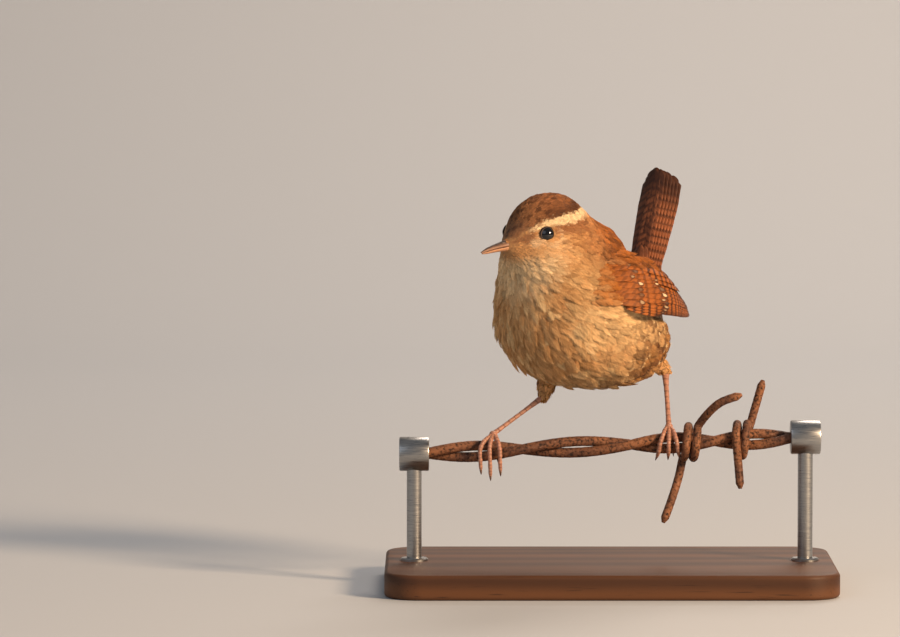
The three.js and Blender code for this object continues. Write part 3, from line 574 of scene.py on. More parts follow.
# Markings. Colours are those of the feathers in even light, except that the throat's colour also carries
# painted light.
plume = {
    "crown": "#96613c",
    "crownEdge": "#553421",
    "forehead": "#a2714b",
    "brow": "#ead0a6",
    "eyeLine": "#8b5736",
    "lore": "#dab68c",
    "cheek": "#cb9762",
    "cheekStreak": "#84532f",
    # paler than the breast, and painted lighter still as painted light, since this throat lies in shade
    "throat": "#f0d3a6",
    "breast": "#cd9f6c",
    "belly": "#cfa877",
    "cream": "#edcf9c",
    "flank": "#ae7940",
    "back": "#a8642e",
    "nape": "#c78f5c",
    "rump": "#9c5526",
    "vent": "#946338",
    "wing": "#aa672c",
    "bar": "#6a4023",
}
plumeColour = {name: np.array(linear(value)) for name, value in plume.items()}
barPitch = 2.7  # between the rows of cross bars on the body


def browHeight(x):
    return 4.5 + np.where(x < 6, 0.1 * (6 - x), -0.5 * (x - 6))


def browShare(h):
    half = 0.95 - 0.55 * ramp(h[:, 0], 1, 8.5)
    apart = np.abs(h[:, 2] - browHeight(h[:, 0]))
    ends = ramp(h[:, 0], -11.5, -8) * ramp(h[:, 0], 9.6, 8)
    return ramp(apart, half + 0.5, half - 0.5) * ramp(np.abs(h[:, 1]), 2.2, 3.4) * ends


def paint(colour, share, name):
    return colour * (1 - share[:, None]) + plumeColour[name] * share[:, None]


def ripple(points, size):  # a smooth, fixed unevenness between -1 and 1
    a = np.sin(points @ np.array([1.7, 0.6, -0.9]) / size + 1.3)
    b = np.sin(points @ np.array([-0.5, 1.9, 0.7]) / size + 4.1)
    c = np.sin(points @ np.array([0.8, -0.7, 1.6]) / size + 2.2)
    return (a + b + c) / 3


def markings(points):
    h = toHead(points)
    onHead = headShare(points)
    x, y, z = points.T
    rows = np.linalg.norm(points - billRoot, axis=1) + 0.8 * ripple(points, 2.6)  # way back from the bill
    colour = np.tile(plumeColour["breast"], (len(points), 1))
    colour = paint(colour, ramp(z, -4, -13) * ramp(-x, -14, -4), "belly")
    rear = ramp(-x, -6, 10)
    colour = paint(colour, rear * ramp(np.abs(y), 4, 12), "flank")
    colour = paint(colour, ramp(-x, 12, 21) * ramp(z, 4, -2), "vent")
    over = ramp(z + 1.1 * ripple(points, 1.2) - (9.5 + 0.34 * x), -5, 5) * ramp(x, 18, 7)
    colour = paint(colour, over, "back")
    colour = paint(colour, over * ramp(x, 1, 9) * 0.8, "nape")
    colour = paint(colour, over * ramp(-x, 8, 17), "rump")
    cloud = ramp(ripple(points, 1.9) + 0.6 * ripple(points, 0.7), -0.1, 0.7)
    colour = paint(colour, cloud * (1 - over) * (0.25 + 0.4 * rear), "flank")
    light = ramp(ripple(points + 9, 1.5) + 0.7 * ripple(points - 5, 0.8), 0.05, 0.8)
    upper = ramp(np.abs(y), 9, 14) * ramp(z, -9, -3) * ramp(-x, 16, 9)  # below the folded wing
    colour = paint(colour, (1 - over) * np.maximum(light * 0.6 * (1 - 0.7 * rear), 0.5 * upper), "cream")
    # the pale throat, which also carries painted light
    colour = paint(colour, (1 - over) * ramp(rows, 17, 11) * 0.8, "throat")
    # painted shade: the neck's side on the bird's left only, where the key light falls full, is darkened
    # towards the flank colour
    neckShade = ramp(x, 3, 8) * ramp(y, 7, 12) * ramp(z, 2, 6)
    colour = paint(colour, (1 - over) * neckShade * 0.45, "flank")
    colour = paint(colour, cloud * over * 0.35, "crownEdge")
    # cross bars in rows round the body
    row = ramp(np.sin(rows * 2 * math.pi / barPitch) + 0.5 * ripple(points, 0.6), 0.2, 0.9)
    mid = ramp(-x, -13, 2) * ramp(np.abs(y), 3, 9)
    colour = paint(colour, (1 - over) * rear * 0.3, "vent")
    colour = paint(colour, row * (1 - over) * np.clip(0.22 * mid + 0.65 * rear, 0, 0.85), "bar")
    colour = paint(colour, row * over * 0.5, "crownEdge")
    bars = np.clip(0.55 * rear * (1 - over) + 0.5 * over + 0.22 * ramp(-x, -14, 0) * (1 - over), 0, 1)
    pale = (0.25 + 0.55 * rear) * (1 - over) + 0.9 * ramp(-x, 12, 20) * (1 - over)
    # head
    hx, hy, hz = h.T
    side = np.abs(hy)
    rough = 0.5 * ripple(h, 0.8)
    overBrow = hz - browHeight(hx) + 0.3 * rough
    brow = browShare(h + 0.12 * ripple(h, 0.5)[:, None])
    head = np.tile(plumeColour["cheek"], (len(points), 1))
    # the pale throat under the head, which also carries painted light
    head = paint(head, ramp(hz, -2.5, -6.5) * ramp(hx, -6, 0), "throat")
    streaks = ramp(np.sin(hz * 3.6 + hx * 0.6 + 2 * ripple(h, 1.6)), 0.0, 0.8)
    ear = ramp(hz, -6, -3.5) * ramp(hz, 3, 1.6) * ramp(hx, 4.5, 2.5) * ramp(hx, -9, -5)
    head = paint(head, streaks * ear * 0.9, "cheekStreak")
    speckle = ramp(ripple(h * np.array([1, 1, 1.6]), 0.42), 0.25, 0.6) * ramp(hz, -8, -5) * (1 - ear)
    head = paint(head, speckle * 0.35, "cheekStreak")
    behind = ramp(hx + rough, 4.6, 3.2) * ramp(hx, -8.5, -5)
    behind = behind * ramp(hz + rough, 1, 2) * ramp(overBrow, -0.6, -1.2)
    head = paint(head, behind * 0.85, "eyeLine")
    dusky = ramp(hx, 7.8, 8.8) * ramp(hz + rough, 0, 0.8) * ramp(overBrow, 0, -0.7)
    head = paint(head, dusky * 0.7, "eyeLine")
    spot = ramp(np.hypot(hx - 8.6, hz - 0.1), 1.4, 0.6) * ramp(side, 1.5, 2.4)
    head = paint(head, spot, "lore")
    above = ramp(overBrow, 0.2, 0.8)
    above = np.maximum(above, ramp(side, 3, 2) * ramp(hz, 1.2, 2.2))
    head = paint(head, above, "crown")
    head = paint(head, above * ramp(hx, 2, 8) * 0.7, "forehead")
    lateral = ramp(overBrow, 0.5, 1.2) * ramp(overBrow, 4.2, 2.2) * ramp(hx, 7, 3)
    head = paint(head, lateral * 0.75, "crownEdge")
    mottle = ramp(ripple(h * np.array([1, 1.3, 1]), 0.75), 0.0, 0.5) * above
    head = paint(head, mottle * 0.75, "crownEdge")
    nape = ramp(hx, -5, -10) * ramp(hz, -5, 1)
    head = paint(head, nape * (1 - brow) * (1 - 0.7 * above), "nape")
    head = paint(head, brow, "brow")
    # a broken pale ring, below the eye and behind it
    ex, ez = hx - eye["at"][0], hz - eye["at"][2]
    wide = np.hypot(ex, ez)
    low = np.maximum(ramp(ez, 0.2, -0.8), ramp(-ex, 0.6, 1.6) * ramp(ez, 1.8, 0.9))
    ring = ramp(wide, 1.9, 2.3) * ramp(wide, 3.3, 2.6) * low * ramp(side, 3, 4.5)
    head = paint(head, ring * 0.75, "lore")
    mix = onHead[:, None]
    colour = colour * (1 - mix) + head * mix
    bars = bars * (1 - onHead) + 0.35 * above * onHead
    pale = pale * (1 - onHead)
    return colour, bars, pale


def flow(points, normals):
    # feathers run away from the bill and gather at the tail
    away, home = points - billRoot, points - np.array(coat["end"])
    course = away / np.sum(away**2, axis=1, keepdims=True) - home / np.sum(home**2, axis=1, keepdims=True)
    course = unit(course)
    course[:, 2] -= 0.18 * ramp(np.abs(points[:, 1]), 6, 14)
    course -= normals * np.sum(course * normals, axis=1, keepdims=True)
    return unit(course), np.linalg.norm(course, axis=1)


# Skin: rings run from the bill to the tail, and the unwrap follows them
def sphereDirections(rings, columns):
    polar = np.linspace(0, math.pi, rings + 1)[1:-1]
    around = np.arange(columns) * 2 * math.pi / columns
    a, b = np.meshgrid(polar, around, indexing="ij")
    grid = np.stack([np.cos(a), np.sin(a) * np.sin(b), np.sin(a) * np.cos(b)], axis=-1).reshape(-1, 3)
    return np.vstack([[1, 0, 0], grid, [-1, 0, 0]])


def sphereFaces(rings, columns):
    last = (rings - 1) * columns + 1
    faces = []
    for j in range(columns):
        faces.append((0, 1 + (j + 1) % columns, 1 + j))
    for i in range(rings - 2):
        for j in range(columns):
            a, b = 1 + i * columns + j, 1 + i * columns + (j + 1) % columns
            faces.append((a, b, b + columns, a + columns))
    for j in range(columns):
        faces.append((last, last - columns + j, last - columns + (j + 1) % columns))
    return faces


def skinUv(points):
    d = unit(points - np.array(coat["start"]))
    around = np.arctan2(d[:, 1], d[:, 2]) / (2 * math.pi) % 1
    return np.stack([around, np.arccos(np.clip(d[:, 0], -1, 1)) / math.pi], axis=1)


def loopPoints(mesh):  # the point of each face corner
    loops = np.zeros(len(mesh.loops), int)
    mesh.loops.foreach_get("vertex_index", loops)
    return loops


def storeUv(mesh, name, values):
    layer = mesh.uv_layers.new(name=name)
    layer.data.foreach_set("uv", np.asarray(values, np.float32).ravel())


def storeColour(mesh, name, values):
    layer = mesh.attributes.new(name, "FLOAT_COLOR", "POINT")
    full = np.hstack([values, np.ones((len(values), 1))]).astype(np.float32)
    layer.data.foreach_set("color", full.ravel())


def storeNumber(mesh, name, values):
    layer = mesh.attributes.new(name, "FLOAT", "POINT")
    layer.data.foreach_set("value", np.asarray(values, np.float32).ravel())


def makeSkin():
    points = skinAt(sphereDirections(coat["rings"], coat["columns"]))
    faces = sphereFaces(coat["rings"], coat["columns"])
    piece = makePiece("skin", points, faces, materials["skin"])
    mesh = piece.data
    storeColour(mesh, "tint", markings(points)[0])
    uv = skinUv(points)[loopPoints(mesh)]
    for polygon in mesh.polygons:  # a face across the seam keeps to one side
        place = slice(polygon.loop_start, polygon.loop_start + polygon.loop_total)
        if uv[place, 0].max() - uv[place, 0].min() > 0.5:
            uv[place, 0] = np.where(uv[place, 0] < 0.5, uv[place, 0] + 1, uv[place, 0])
    storeUv(mesh, "OFBake", uv)
    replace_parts(piece, "head", "neck", "torso", "thigh_left", "thigh_right")
    print("skin made:", len(points), "points")


makeSkin()


# One feather of the coat: a narrow cupped vane, and loose barbs that leave its shaft on both sides.
# Its length runs from 0 to 1.
tuft = {
    "long": {"stations": (0, 0.22, 0.5, 0.72, 0.86), "half": (0.04, 0.14, 0.18, 0.13, 0.05), "barbs": 38},
    "short": {"stations": (0, 0.35, 0.64, 0.84), "half": (0.05, 0.16, 0.16, 0.07), "barbs": 22},
    "slant": (0.62, 0.16),  # of the barbs to the shaft, from the root to the tip
    "reach": (0.34, 0.3),
    "barb": 0.016,
    "thickness": 0.012,
    "droop": 0.1,
    "cup": 0.4,
    "seeds": 3,
}


def tuftHeight(x, y):
    return 0.06 * math.sin(math.pi * min(x, 1)) - tuft["droop"] * x * x - tuft["cup"] * y * y


def makeTuft(name, spec, seed):
    draw = np.random.default_rng(seed)
    points, faces, vane = [], [], []

    def put(x, y, lift):
        points.append((x, y, tuftHeight(x, y) + lift))
        vane.append((x, 0.5 + y))
        return len(points) - 1

    thick = tuft["thickness"]
    rings = []
    for x, half in zip(spec["stations"], spec["half"]):
        rings.append([put(x, half, 0), put(x, 0, thick), put(x, -half, 0), put(x, 0, -thick)])
    tip = put(0.97, 0, 0)
    for a, b in zip(rings, rings[1:]):
        for k in range(4):
            m = (k + 1) % 4
            faces.append((a[k], a[m], b[m], b[k]))
    faces.append(tuple(reversed(rings[0])))
    for k in range(4):
        faces.append((rings[-1][k], rings[-1][(k + 1) % 4], tip))
    for i in range(spec["barbs"]):
        share = (i + 0.5) / spec["barbs"]
        side = 1 if i % 2 else -1
        slant = side * np.interp(share, (0, 1), tuft["slant"]) + draw.normal(0, 0.07)
        length = np.interp(share, (0, 1), tuft["reach"]) * (1 + 0.15 * draw.normal())
        x0 = 0.16 + 0.56 * share + draw.normal(0, 0.02)
        y0 = side * 0.07 * (1 - share) + draw.normal(0, 0.02)
        x1, y1 = x0 + length * math.cos(slant), y0 + length * math.sin(slant)
        wide = tuft["barb"]
        lift = thick * (0.8 + 0.9 * draw.random())
        base = [put(x0, y0 - wide, lift), put(x0 + 0.02, y0 + wide, lift), put(x0, y0, lift + 1.2 * thick)]
        end = put(x1, y1, lift * 0.8 + abs(draw.normal(0, 0.014)))
        faces.append((base[0], base[1], base[2]))
        for k in range(3):
            faces.append((base[(k + 1) % 3], base[k], end))
    mesh = bpy.data.meshes.new(name)
    mesh.from_pydata(points, [], faces)
    mesh.set_sharp_from_angle(angle=math.radians(40))
    storeUv(mesh, "vane", np.array(vane)[loopPoints(mesh)])
    return bpy.data.objects.new(name, mesh)


tuftShapes = bpy.data.collections.new("tuftShapes")
for number in range(tuft["seeds"]):
    tuftShapes.objects.link(makeTuft(f"a_long_{number}", tuft["long"], 20 + number))
for number in range(tuft["seeds"]):
    tuftShapes.objects.link(makeTuft(f"b_short_{number}", tuft["short"], 40 + number))


# Sets one feather shape at each point, turned and sized by the point's own values
def coatTree():
    tree = bpy.data.node_groups.new("featherCoat", "GeometryNodeTree")
    face = tree.interface
    face.new_socket("Geometry", in_out="INPUT", socket_type="NodeSocketGeometry")
    face.new_socket("Patch Size", in_out="INPUT", socket_type="NodeSocketFloat")
    face.new_socket("Material", in_out="INPUT", socket_type="NodeSocketMaterial")
    face.new_socket("Geometry", in_out="OUTPUT", socket_type="NodeSocketGeometry")
    given = addNode(tree, "NodeGroupInput", {}, None)
    result = addNode(tree, "NodeGroupOutput", {}, None)

    def named(name, kind):
        return addNode(tree, "GeometryNodeInputNamedAttribute", {"Name": name}, "Attribute", data_type=kind)

    shapes = addNode(tree, "GeometryNodeCollectionInfo", {
        "Collection": tuftShapes,
        "Separate Children": True,
        "Reset Children": True,
    }, transform_space="ORIGINAL")
    placed = addNode(tree, "GeometryNodeInstanceOnPoints", {
        "Points": given.outputs["Geometry"],
        "Instance": shapes,
        "Pick Instance": True,
        "Instance Index": named("kind", "INT"),
        "Rotation": named("turn", "FLOAT_VECTOR"),
        "Scale": named("size", "FLOAT_VECTOR"),
    })
    whole = addNode(tree, "GeometryNodeRealizeInstances", {"Geometry": placed})
    # each feather's own unwrap, made small and set at its place on the skin's
    patch = addNode(tree, "ShaderNodeVectorMath", {
        0: named("vane", "FLOAT_VECTOR"),
        "Scale": given.outputs["Patch Size"],
    }, operation="SCALE")
    spot = addNode(tree, "ShaderNodeVectorMath", (named("root", "FLOAT_VECTOR"), patch), operation="ADD")
    unwrapped = addNode(tree, "GeometryNodeStoreNamedAttribute", {
        "Geometry": whole,
        "Name": "OFBake",
        "Value": spot,
    }, data_type="FLOAT2", domain="CORNER")
    dressed = addNode(tree, "GeometryNodeSetMaterial", {
        "Geometry": unwrapped,
        "Material": given.outputs["Material"],
    })
    setInputs(tree, result, {"Geometry": dressed})
    return tree


featherTree = coatTree()
patchSize = 0.003  # of one feather on the skin's unwrap


def socketId(tree, name):
    sockets = [item for item in tree.interface.items_tree if item.in_out == "INPUT"]
    return next(item.identifier for item in sockets if item.name == name)


def makeCoat(name, data):
    world = moved(data["at"], birdSpace) * mm
    spin = birdSpace[:3, :3]
    turns = []
    for x, z in zip(unit(data["along"] @ spin.T), unit(data["up"] @ spin.T)):
        y = unit(np.cross(z, x))
        turns.append(Matrix(np.stack([x, y, np.cross(x, y)], axis=1).tolist()).to_euler())
    mesh = bpy.data.meshes.new(name + "_points")
    mesh.from_pydata(world.tolist(), [], [])
    for key, values in (("turn", turns), ("size", data["size"] * mm), ("root", data["root"])):
        layer = mesh.attributes.new(key, "FLOAT_VECTOR", "POINT")
        layer.data.foreach_set("vector", np.asarray(values, np.float32).ravel())
    kinds = mesh.attributes.new("kind", "INT", "POINT")
    kinds.data.foreach_set("value", np.asarray(data["kind"], np.int32))
    storeColour(mesh, "tint", data["tint"])
    storeNumber(mesh, "bars", data["bars"])
    storeNumber(mesh, "pale", data["pale"])
    holder = bpy.data.objects.new(name + "_points", mesh)
    bpy.context.scene.collection.objects.link(holder)
    modifier = holder.modifiers.new("coat", "NODES")
    modifier.node_group = featherTree
    modifier[socketId(featherTree, "Patch Size")] = patchSize
    modifier[socketId(featherTree, "Material")] = materials["feather"]
    graph = bpy.context.evaluated_depsgraph_get()
    made = bpy.data.meshes.new_from_object(holder.evaluated_get(graph), depsgraph=graph)
    made.name = name
    bpy.data.objects.remove(holder)
    for spare in ("turn", "size", "kind", "root"):
        if spare in made.attributes:
            made.attributes.remove(made.attributes[spare])
    piece = bpy.data.objects.new(name, made)
    bpy.context.scene.collection.objects.link(piece)
    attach(piece, "root")
    made.calc_loop_triangles()
    print(name, len(data["at"]), "feathers,", len(made.loop_triangles), "triangles")
    return piece


def scatter(candidates, spacing):
    # keeps points that are no closer than their own spacing
    cell = float(spacing.max())
    grid, kept = {}, []
    keys = np.floor(candidates / cell).astype(int)
    for i in range(len(candidates)):
        p, near, (a, b, c) = candidates[i], spacing[i] ** 2, keys[i]
        free = True
        for u in (a - 1, a, a + 1):
            for v in (b - 1, b, b + 1):
                for w in (c - 1, c, c + 1):
                    for q in grid.get((u, v, w), ()):
                        if (p[0] - q[0]) ** 2 + (p[1] - q[1]) ** 2 + (p[2] - q[2]) ** 2 < near:
                            free = False
                            break
                    if not free:
                        break
                if not free:
                    break
            if not free:
                break
        if free:
            grid.setdefault((a, b, c), []).append(tuple(p))
            kept.append(i)
    return np.array(kept)


# Wing and tail places, as the solids have them
wing = {
    "line": ((12.5, 13.2, 9.4), (4, 18, 8.2), (-8, 18.9, 5.8), (-20, 14, 2.9), (-32, 6.6, 0.2)),
    "lean": (24, 28, 30, 32, 30),
    "curve": 17,
}


def between(first, second, start, end, at):
    return (end - at) / (end - start) * first + (at - start) / (end - start) * second


def smoothLine(knots, count=400):
    # centripetal Catmull-Rom, sampled evenly by length
    k = np.asarray(knots, float)
    k = np.vstack([2 * k[0] - k[1], k, 2 * k[-1] - k[-2]])
    parts = []
    for i in range(1, len(k) - 2):
        p = k[i - 1 : i + 3]
        t = np.concatenate([[0], np.cumsum(np.sqrt(np.linalg.norm(np.diff(p, axis=0), axis=1)))])
        s = np.linspace(t[1], t[2], 60, endpoint=i == len(k) - 3)[:, None]
        a = [between(p[j], p[j + 1], t[j], t[j + 1], s) for j in range(3)]
        b = [between(a[j], a[j + 1], t[j], t[j + 2], s) for j in range(2)]
        parts.append(between(b[0], b[1], t[1], t[2], s))
    fine = np.vstack(parts)
    run = np.concatenate([[0], np.cumsum(np.linalg.norm(np.diff(fine, axis=0), axis=1))])
    even = np.linspace(0, run[-1], count)
    return np.stack([np.interp(even, run, fine[:, j]) for j in range(3)], axis=1), run[-1]


wingLine, wingLength = smoothLine(wing["line"])
wingCourse = unit(np.gradient(wingLine, axis=0))


def read(table, share):
    return np.interp(share, np.linspace(0, 1, len(table)), table)


def wingAxes(tangent, t):
    lean = np.radians(read(wing["lean"], t))
    out = np.stack([np.zeros_like(lean), np.cos(lean), np.sin(lean)], axis=-1)
    out = unit(out - tangent * np.sum(out * tangent, axis=-1, keepdims=True))
    return out, np.cross(out, tangent)


def wingPlace(x, c, h):
    x, c, h = (np.asarray(v, float) for v in np.broadcast_arrays(x, c, h))
    t = np.clip(x / wingLength, 0, 1)
    index = t * (len(wingLine) - 1)
    whole = np.arange(len(wingLine))
    middle = np.stack([np.interp(index, whole, wingLine[:, j]) for j in range(3)], axis=-1)
    tangent = unit(np.stack([np.interp(index, whole, wingCourse[:, j]) for j in range(3)], axis=-1))
    middle = middle + tangent * (x - t * wingLength)[..., None]
    out, up = wingAxes(tangent, t)
    around = c / wing["curve"]
    side = (wing["curve"] + h) * np.sin(around)
    rise = (wing["curve"] + h) * np.cos(around) - wing["curve"]
    return middle + up * side[..., None] + out * rise[..., None]


def wingCoordinates(points):
    # nearest place on the wing's middle line, for points on either side of the bird
    p = points.copy()
    p[:, 1] = np.abs(p[:, 1])
    far = np.linalg.norm(p[:, None, :] - wingLine[None, ::8], axis=2)
    near = far.argmin(axis=1) * 8
    x = near / (len(wingLine) - 1) * wingLength
    tangent = wingCourse[near]
    out, up = wingAxes(tangent, near / (len(wingLine) - 1))
    offset = p - wingLine[near]
    return x + np.sum(offset * tangent, axis=1), np.sum(offset * up, axis=1), np.sum(offset * out, axis=1)


# Lengths of the coat's feathers in millimetres
lengths = {"bill": 0.9, "face": 1.6, "crown": 2.4, "throat": 3, "breast": 4.4, "belly": 5.2, "rump": 4.5}


def featherLength(points):
    h = toHead(points)
    onHead = headShare(points)
    head = lengths["face"] + (lengths["crown"] - lengths["face"]) * ramp(h[:, 0], 7, -1)
    head = head + (lengths["throat"] - lengths["crown"]) * ramp(h[:, 2], -2, -7) * ramp(h[:, 0], 8, 2)
    apart = np.abs(h[:, 2] - browHeight(h[:, 0])) + 3 * ramp(h[:, 0], -10, -13)
    head = head * (1 - 0.3 * ramp(apart, 2.8, 1.6))
    head = lengths["bill"] + (head - lengths["bill"]) * ramp(h[:, 0], 11, 8)
    body = lengths["breast"] + (lengths["belly"] - lengths["breast"]) * ramp(points[:, 2], 0, -8)
    body = body + (lengths["rump"] - lengths["breast"]) * ramp(-points[:, 0], 8, 18)
    return body * (1 - onHead) + head * onHead


def eyeDistance(points):
    h = toHead(points)
    h[:, 1] = np.abs(h[:, 1])
    return np.linalg.norm(h - np.array(eye["at"]), axis=1), h


# Where the coat's pieces meet: crown and nape in the head's space, the others in the body's
border = {"crown": 3.2, "nape": -1, "breast": 4, "neck": 6, "back": 0}


# Where no body feather grows: under the folded wing, in the bill and at the root of the tail
bare = {
    "wing": {"x": (3, 44), "c": (-4.4, 6.6), "out": 3},
    "bill": {"from": 10.6, "half": 1.5, "rise": 1.7},
    "tail": {"behind": -19, "over": 5, "half": 4.2},
}


def within(values, span):
    return (values > span[0]) & (values < span[1])


def makeBodyCoat():
    draw = np.random.default_rng(7)
    d = unit(draw.normal(size=(coat["candidates"], 3)))
    points = skinAt(d)
    normals = outward(points)
    length = featherLength(points)
    # a candidate stands for more area where the skin is far or slanted, so it is kept by that share
    reach = np.linalg.norm(points - np.array(coat["start"]), axis=1)
    area = reach**2 / np.maximum(np.sum(d * normals, axis=1), 0.15)
    want = area / (length**1.5)
    keep = draw.random(len(points)) < want / np.quantile(want, 0.97)
    points, normals, length = points[keep], normals[keep], length[keep]
    far, h = eyeDistance(points)
    x, c, out = wingCoordinates(points)
    underWing = within(x, bare["wing"]["x"]) & within(c, bare["wing"]["c"]) & (out < bare["wing"]["out"])
    inBill = (np.abs(h[:, 1]) < bare["bill"]["half"]) & (h[:, 0] > bare["bill"]["from"])
    inBill = inBill & (np.abs(h[:, 2] - billPlace["lift"]) < bare["bill"]["rise"])
    tailGap = (points[:, 0] < bare["tail"]["behind"]) & (points[:, 2] > bare["tail"]["over"])
    tailGap = tailGap & (np.abs(points[:, 1]) < bare["tail"]["half"])
    good = (far > eye["radius"] + 0.05) & ~underWing & ~inBill & ~tailGap
    points, normals, length = points[good], normals[good], length[good]
    spacing = np.where(headShare(points) > 0.5, coat["spacing"]["head"], coat["spacing"]["body"]) * length
    kept = scatter(points, spacing)
    points, normals, length = points[kept], normals[kept], length[kept]
    along, sure = flow(points, normals)
    length = length * (0.45 + 0.55 * ramp(sure, 0.1, 0.55))  # short where the courses meet
    # those under the folded wing reach up over its lower edge
    x, c, out = wingCoordinates(points)
    under = ramp(c, -9, -6) * (c < -4) * ramp(x, -2, 1) * ramp(x, 20, 12) * (np.abs(out) < 5)
    rise = wingPlace(np.clip(x, 0, 40), c + 1, out) - wingPlace(np.clip(x, 0, 40), c, out)
    rise[:, 1] *= np.sign(points[:, 1])
    along = unit(along + unit(rise) * 0.45 * under[:, None])
    along = unit(along - normals * np.sum(along * normals, axis=1, keepdims=True))
    length = length * (1 + 0.35 * under)
    # a feather ahead of the eye stops short of it
    far, h = eyeDistance(points)
    ahead = toHead(points + along * length[:, None] * 0.9)
    ahead[:, 1] = np.abs(ahead[:, 1])
    covers = np.linalg.norm(ahead - np.array(eye["at"]), axis=1) < eye["radius"] + 0.3
    length = np.where(covers, np.minimum(length, np.maximum(far - eye["radius"], 0.55)), length)
    jitter = draw.normal(size=points.shape) * np.where(headShare(points) > 0.5, 0.16, 0.3)[:, None]
    tint, bars, pale = markings(points + along * length[:, None] * 0.6 + jitter)
    sleek = ramp(points[:, 2] - 9.5 - 0.34 * points[:, 0], -3, 3)  # the back lies flatter
    rear = ramp(-points[:, 0], 4, 12) * (1 - sleek)
    lift = (6 + 13 * under - 4 * sleek - 1.5 * rear, 4 - 2.4 * sleek - 1.5 * rear)
    data = feathersAt(points, normals, along, length, tint, bars, pale, draw, lift)
    onHead = headShare(points) > 0.5
    data["kind"] = np.where(onHead, tuft["seeds"], 0) + draw.integers(0, tuft["seeds"], len(points))
    h = toHead(points)
    top = onHead & (h[:, 2] > border["crown"])
    ahead = h[:, 0] > border["nape"]
    face = onHead & (h[:, 2] <= border["crown"])
    front = ~onHead & (points[:, 0] > border["breast"])
    rear = ~onHead & (points[:, 0] <= border["breast"])
    groups = {"coat_crown": top & ahead, "coat_nape": top & ~ahead}
    for name, chosen in (
        ("face", face),
        ("neck", front & (points[:, 2] > border["neck"])),
        ("breast", front & (points[:, 2] <= border["neck"])),
        ("belly", rear & (points[:, 2] < border["back"])),
        ("back", rear & (points[:, 2] >= border["back"])),
    ):
        groups[f"coat_{name}_left"] = chosen & (points[:, 1] > 0)
        groups[f"coat_{name}_right"] = chosen & (points[:, 1] <= 0)
    for name, chosen in groups.items():
        part = {key: values[chosen] for key, values in data.items()}
        makeCoat(name, part)
    print("body coat made:", len(points), "feathers")


# How far one feather strays from its neighbours, in degrees
tousle = {"yaw": 9, "roll": 7, "highest": 19}


def feathersAt(points, normals, along, length, tint, bars, pale, draw, lift):
    # the lift is the mean and the spread of the angle at which the feathers stand off, in degrees
    count = len(points)
    yaw = np.radians(draw.normal(0, tousle["yaw"], count))[:, None]
    across = np.cross(normals, along)
    course = along * np.cos(yaw) + across * np.sin(yaw)
    raised = np.radians(np.clip(draw.normal(lift[0], lift[1], count), 0, tousle["highest"]))[:, None]
    up = normals * np.cos(raised) - course * np.sin(raised)
    course = course * np.cos(raised) + normals * np.sin(raised)
    roll = np.radians(draw.normal(0, tousle["roll"], count))[:, None]
    up = unit(up + np.cross(course, up) * np.sin(roll))
    size = length[:, None] * np.array([1, 1.05, 1]) * (1 + 0.12 * draw.normal(size=(count, 1)))
    shade = 1 + 0.1 * draw.normal(size=(count, 1))
    uv = skinUv(points)
    return {
        "at": points - normals * coat["sunk"],
        "along": course,
        "up": up,
        "size": size,
        "root": np.hstack([uv, np.zeros((count, 1))]),
        "tint": np.clip(tint * shade, 0, 1),
        "bars": np.clip(bars * (0.1 + 1.3 * draw.random(count)), 0, 1),
        "pale": np.clip(pale * (draw.random(count) < 0.3), 0, 1),
        "kind": np.zeros(count, int),
    }


makeBodyCoat()


# A stiff feather: place(x, c, h) gives a point on the wing or tail
flight = {"columns": 8, "rows": 22, "covertRows": 12, "thickness": 0.07, "edge": 0.012, "shaft": 0.05}
vaneWidths = {
    "long": (0.42, 0.8, 0.96, 1, 1, 0.95, 0.7),
    "covert": (0.5, 0.86, 1, 1, 0.9, 0.5),
}


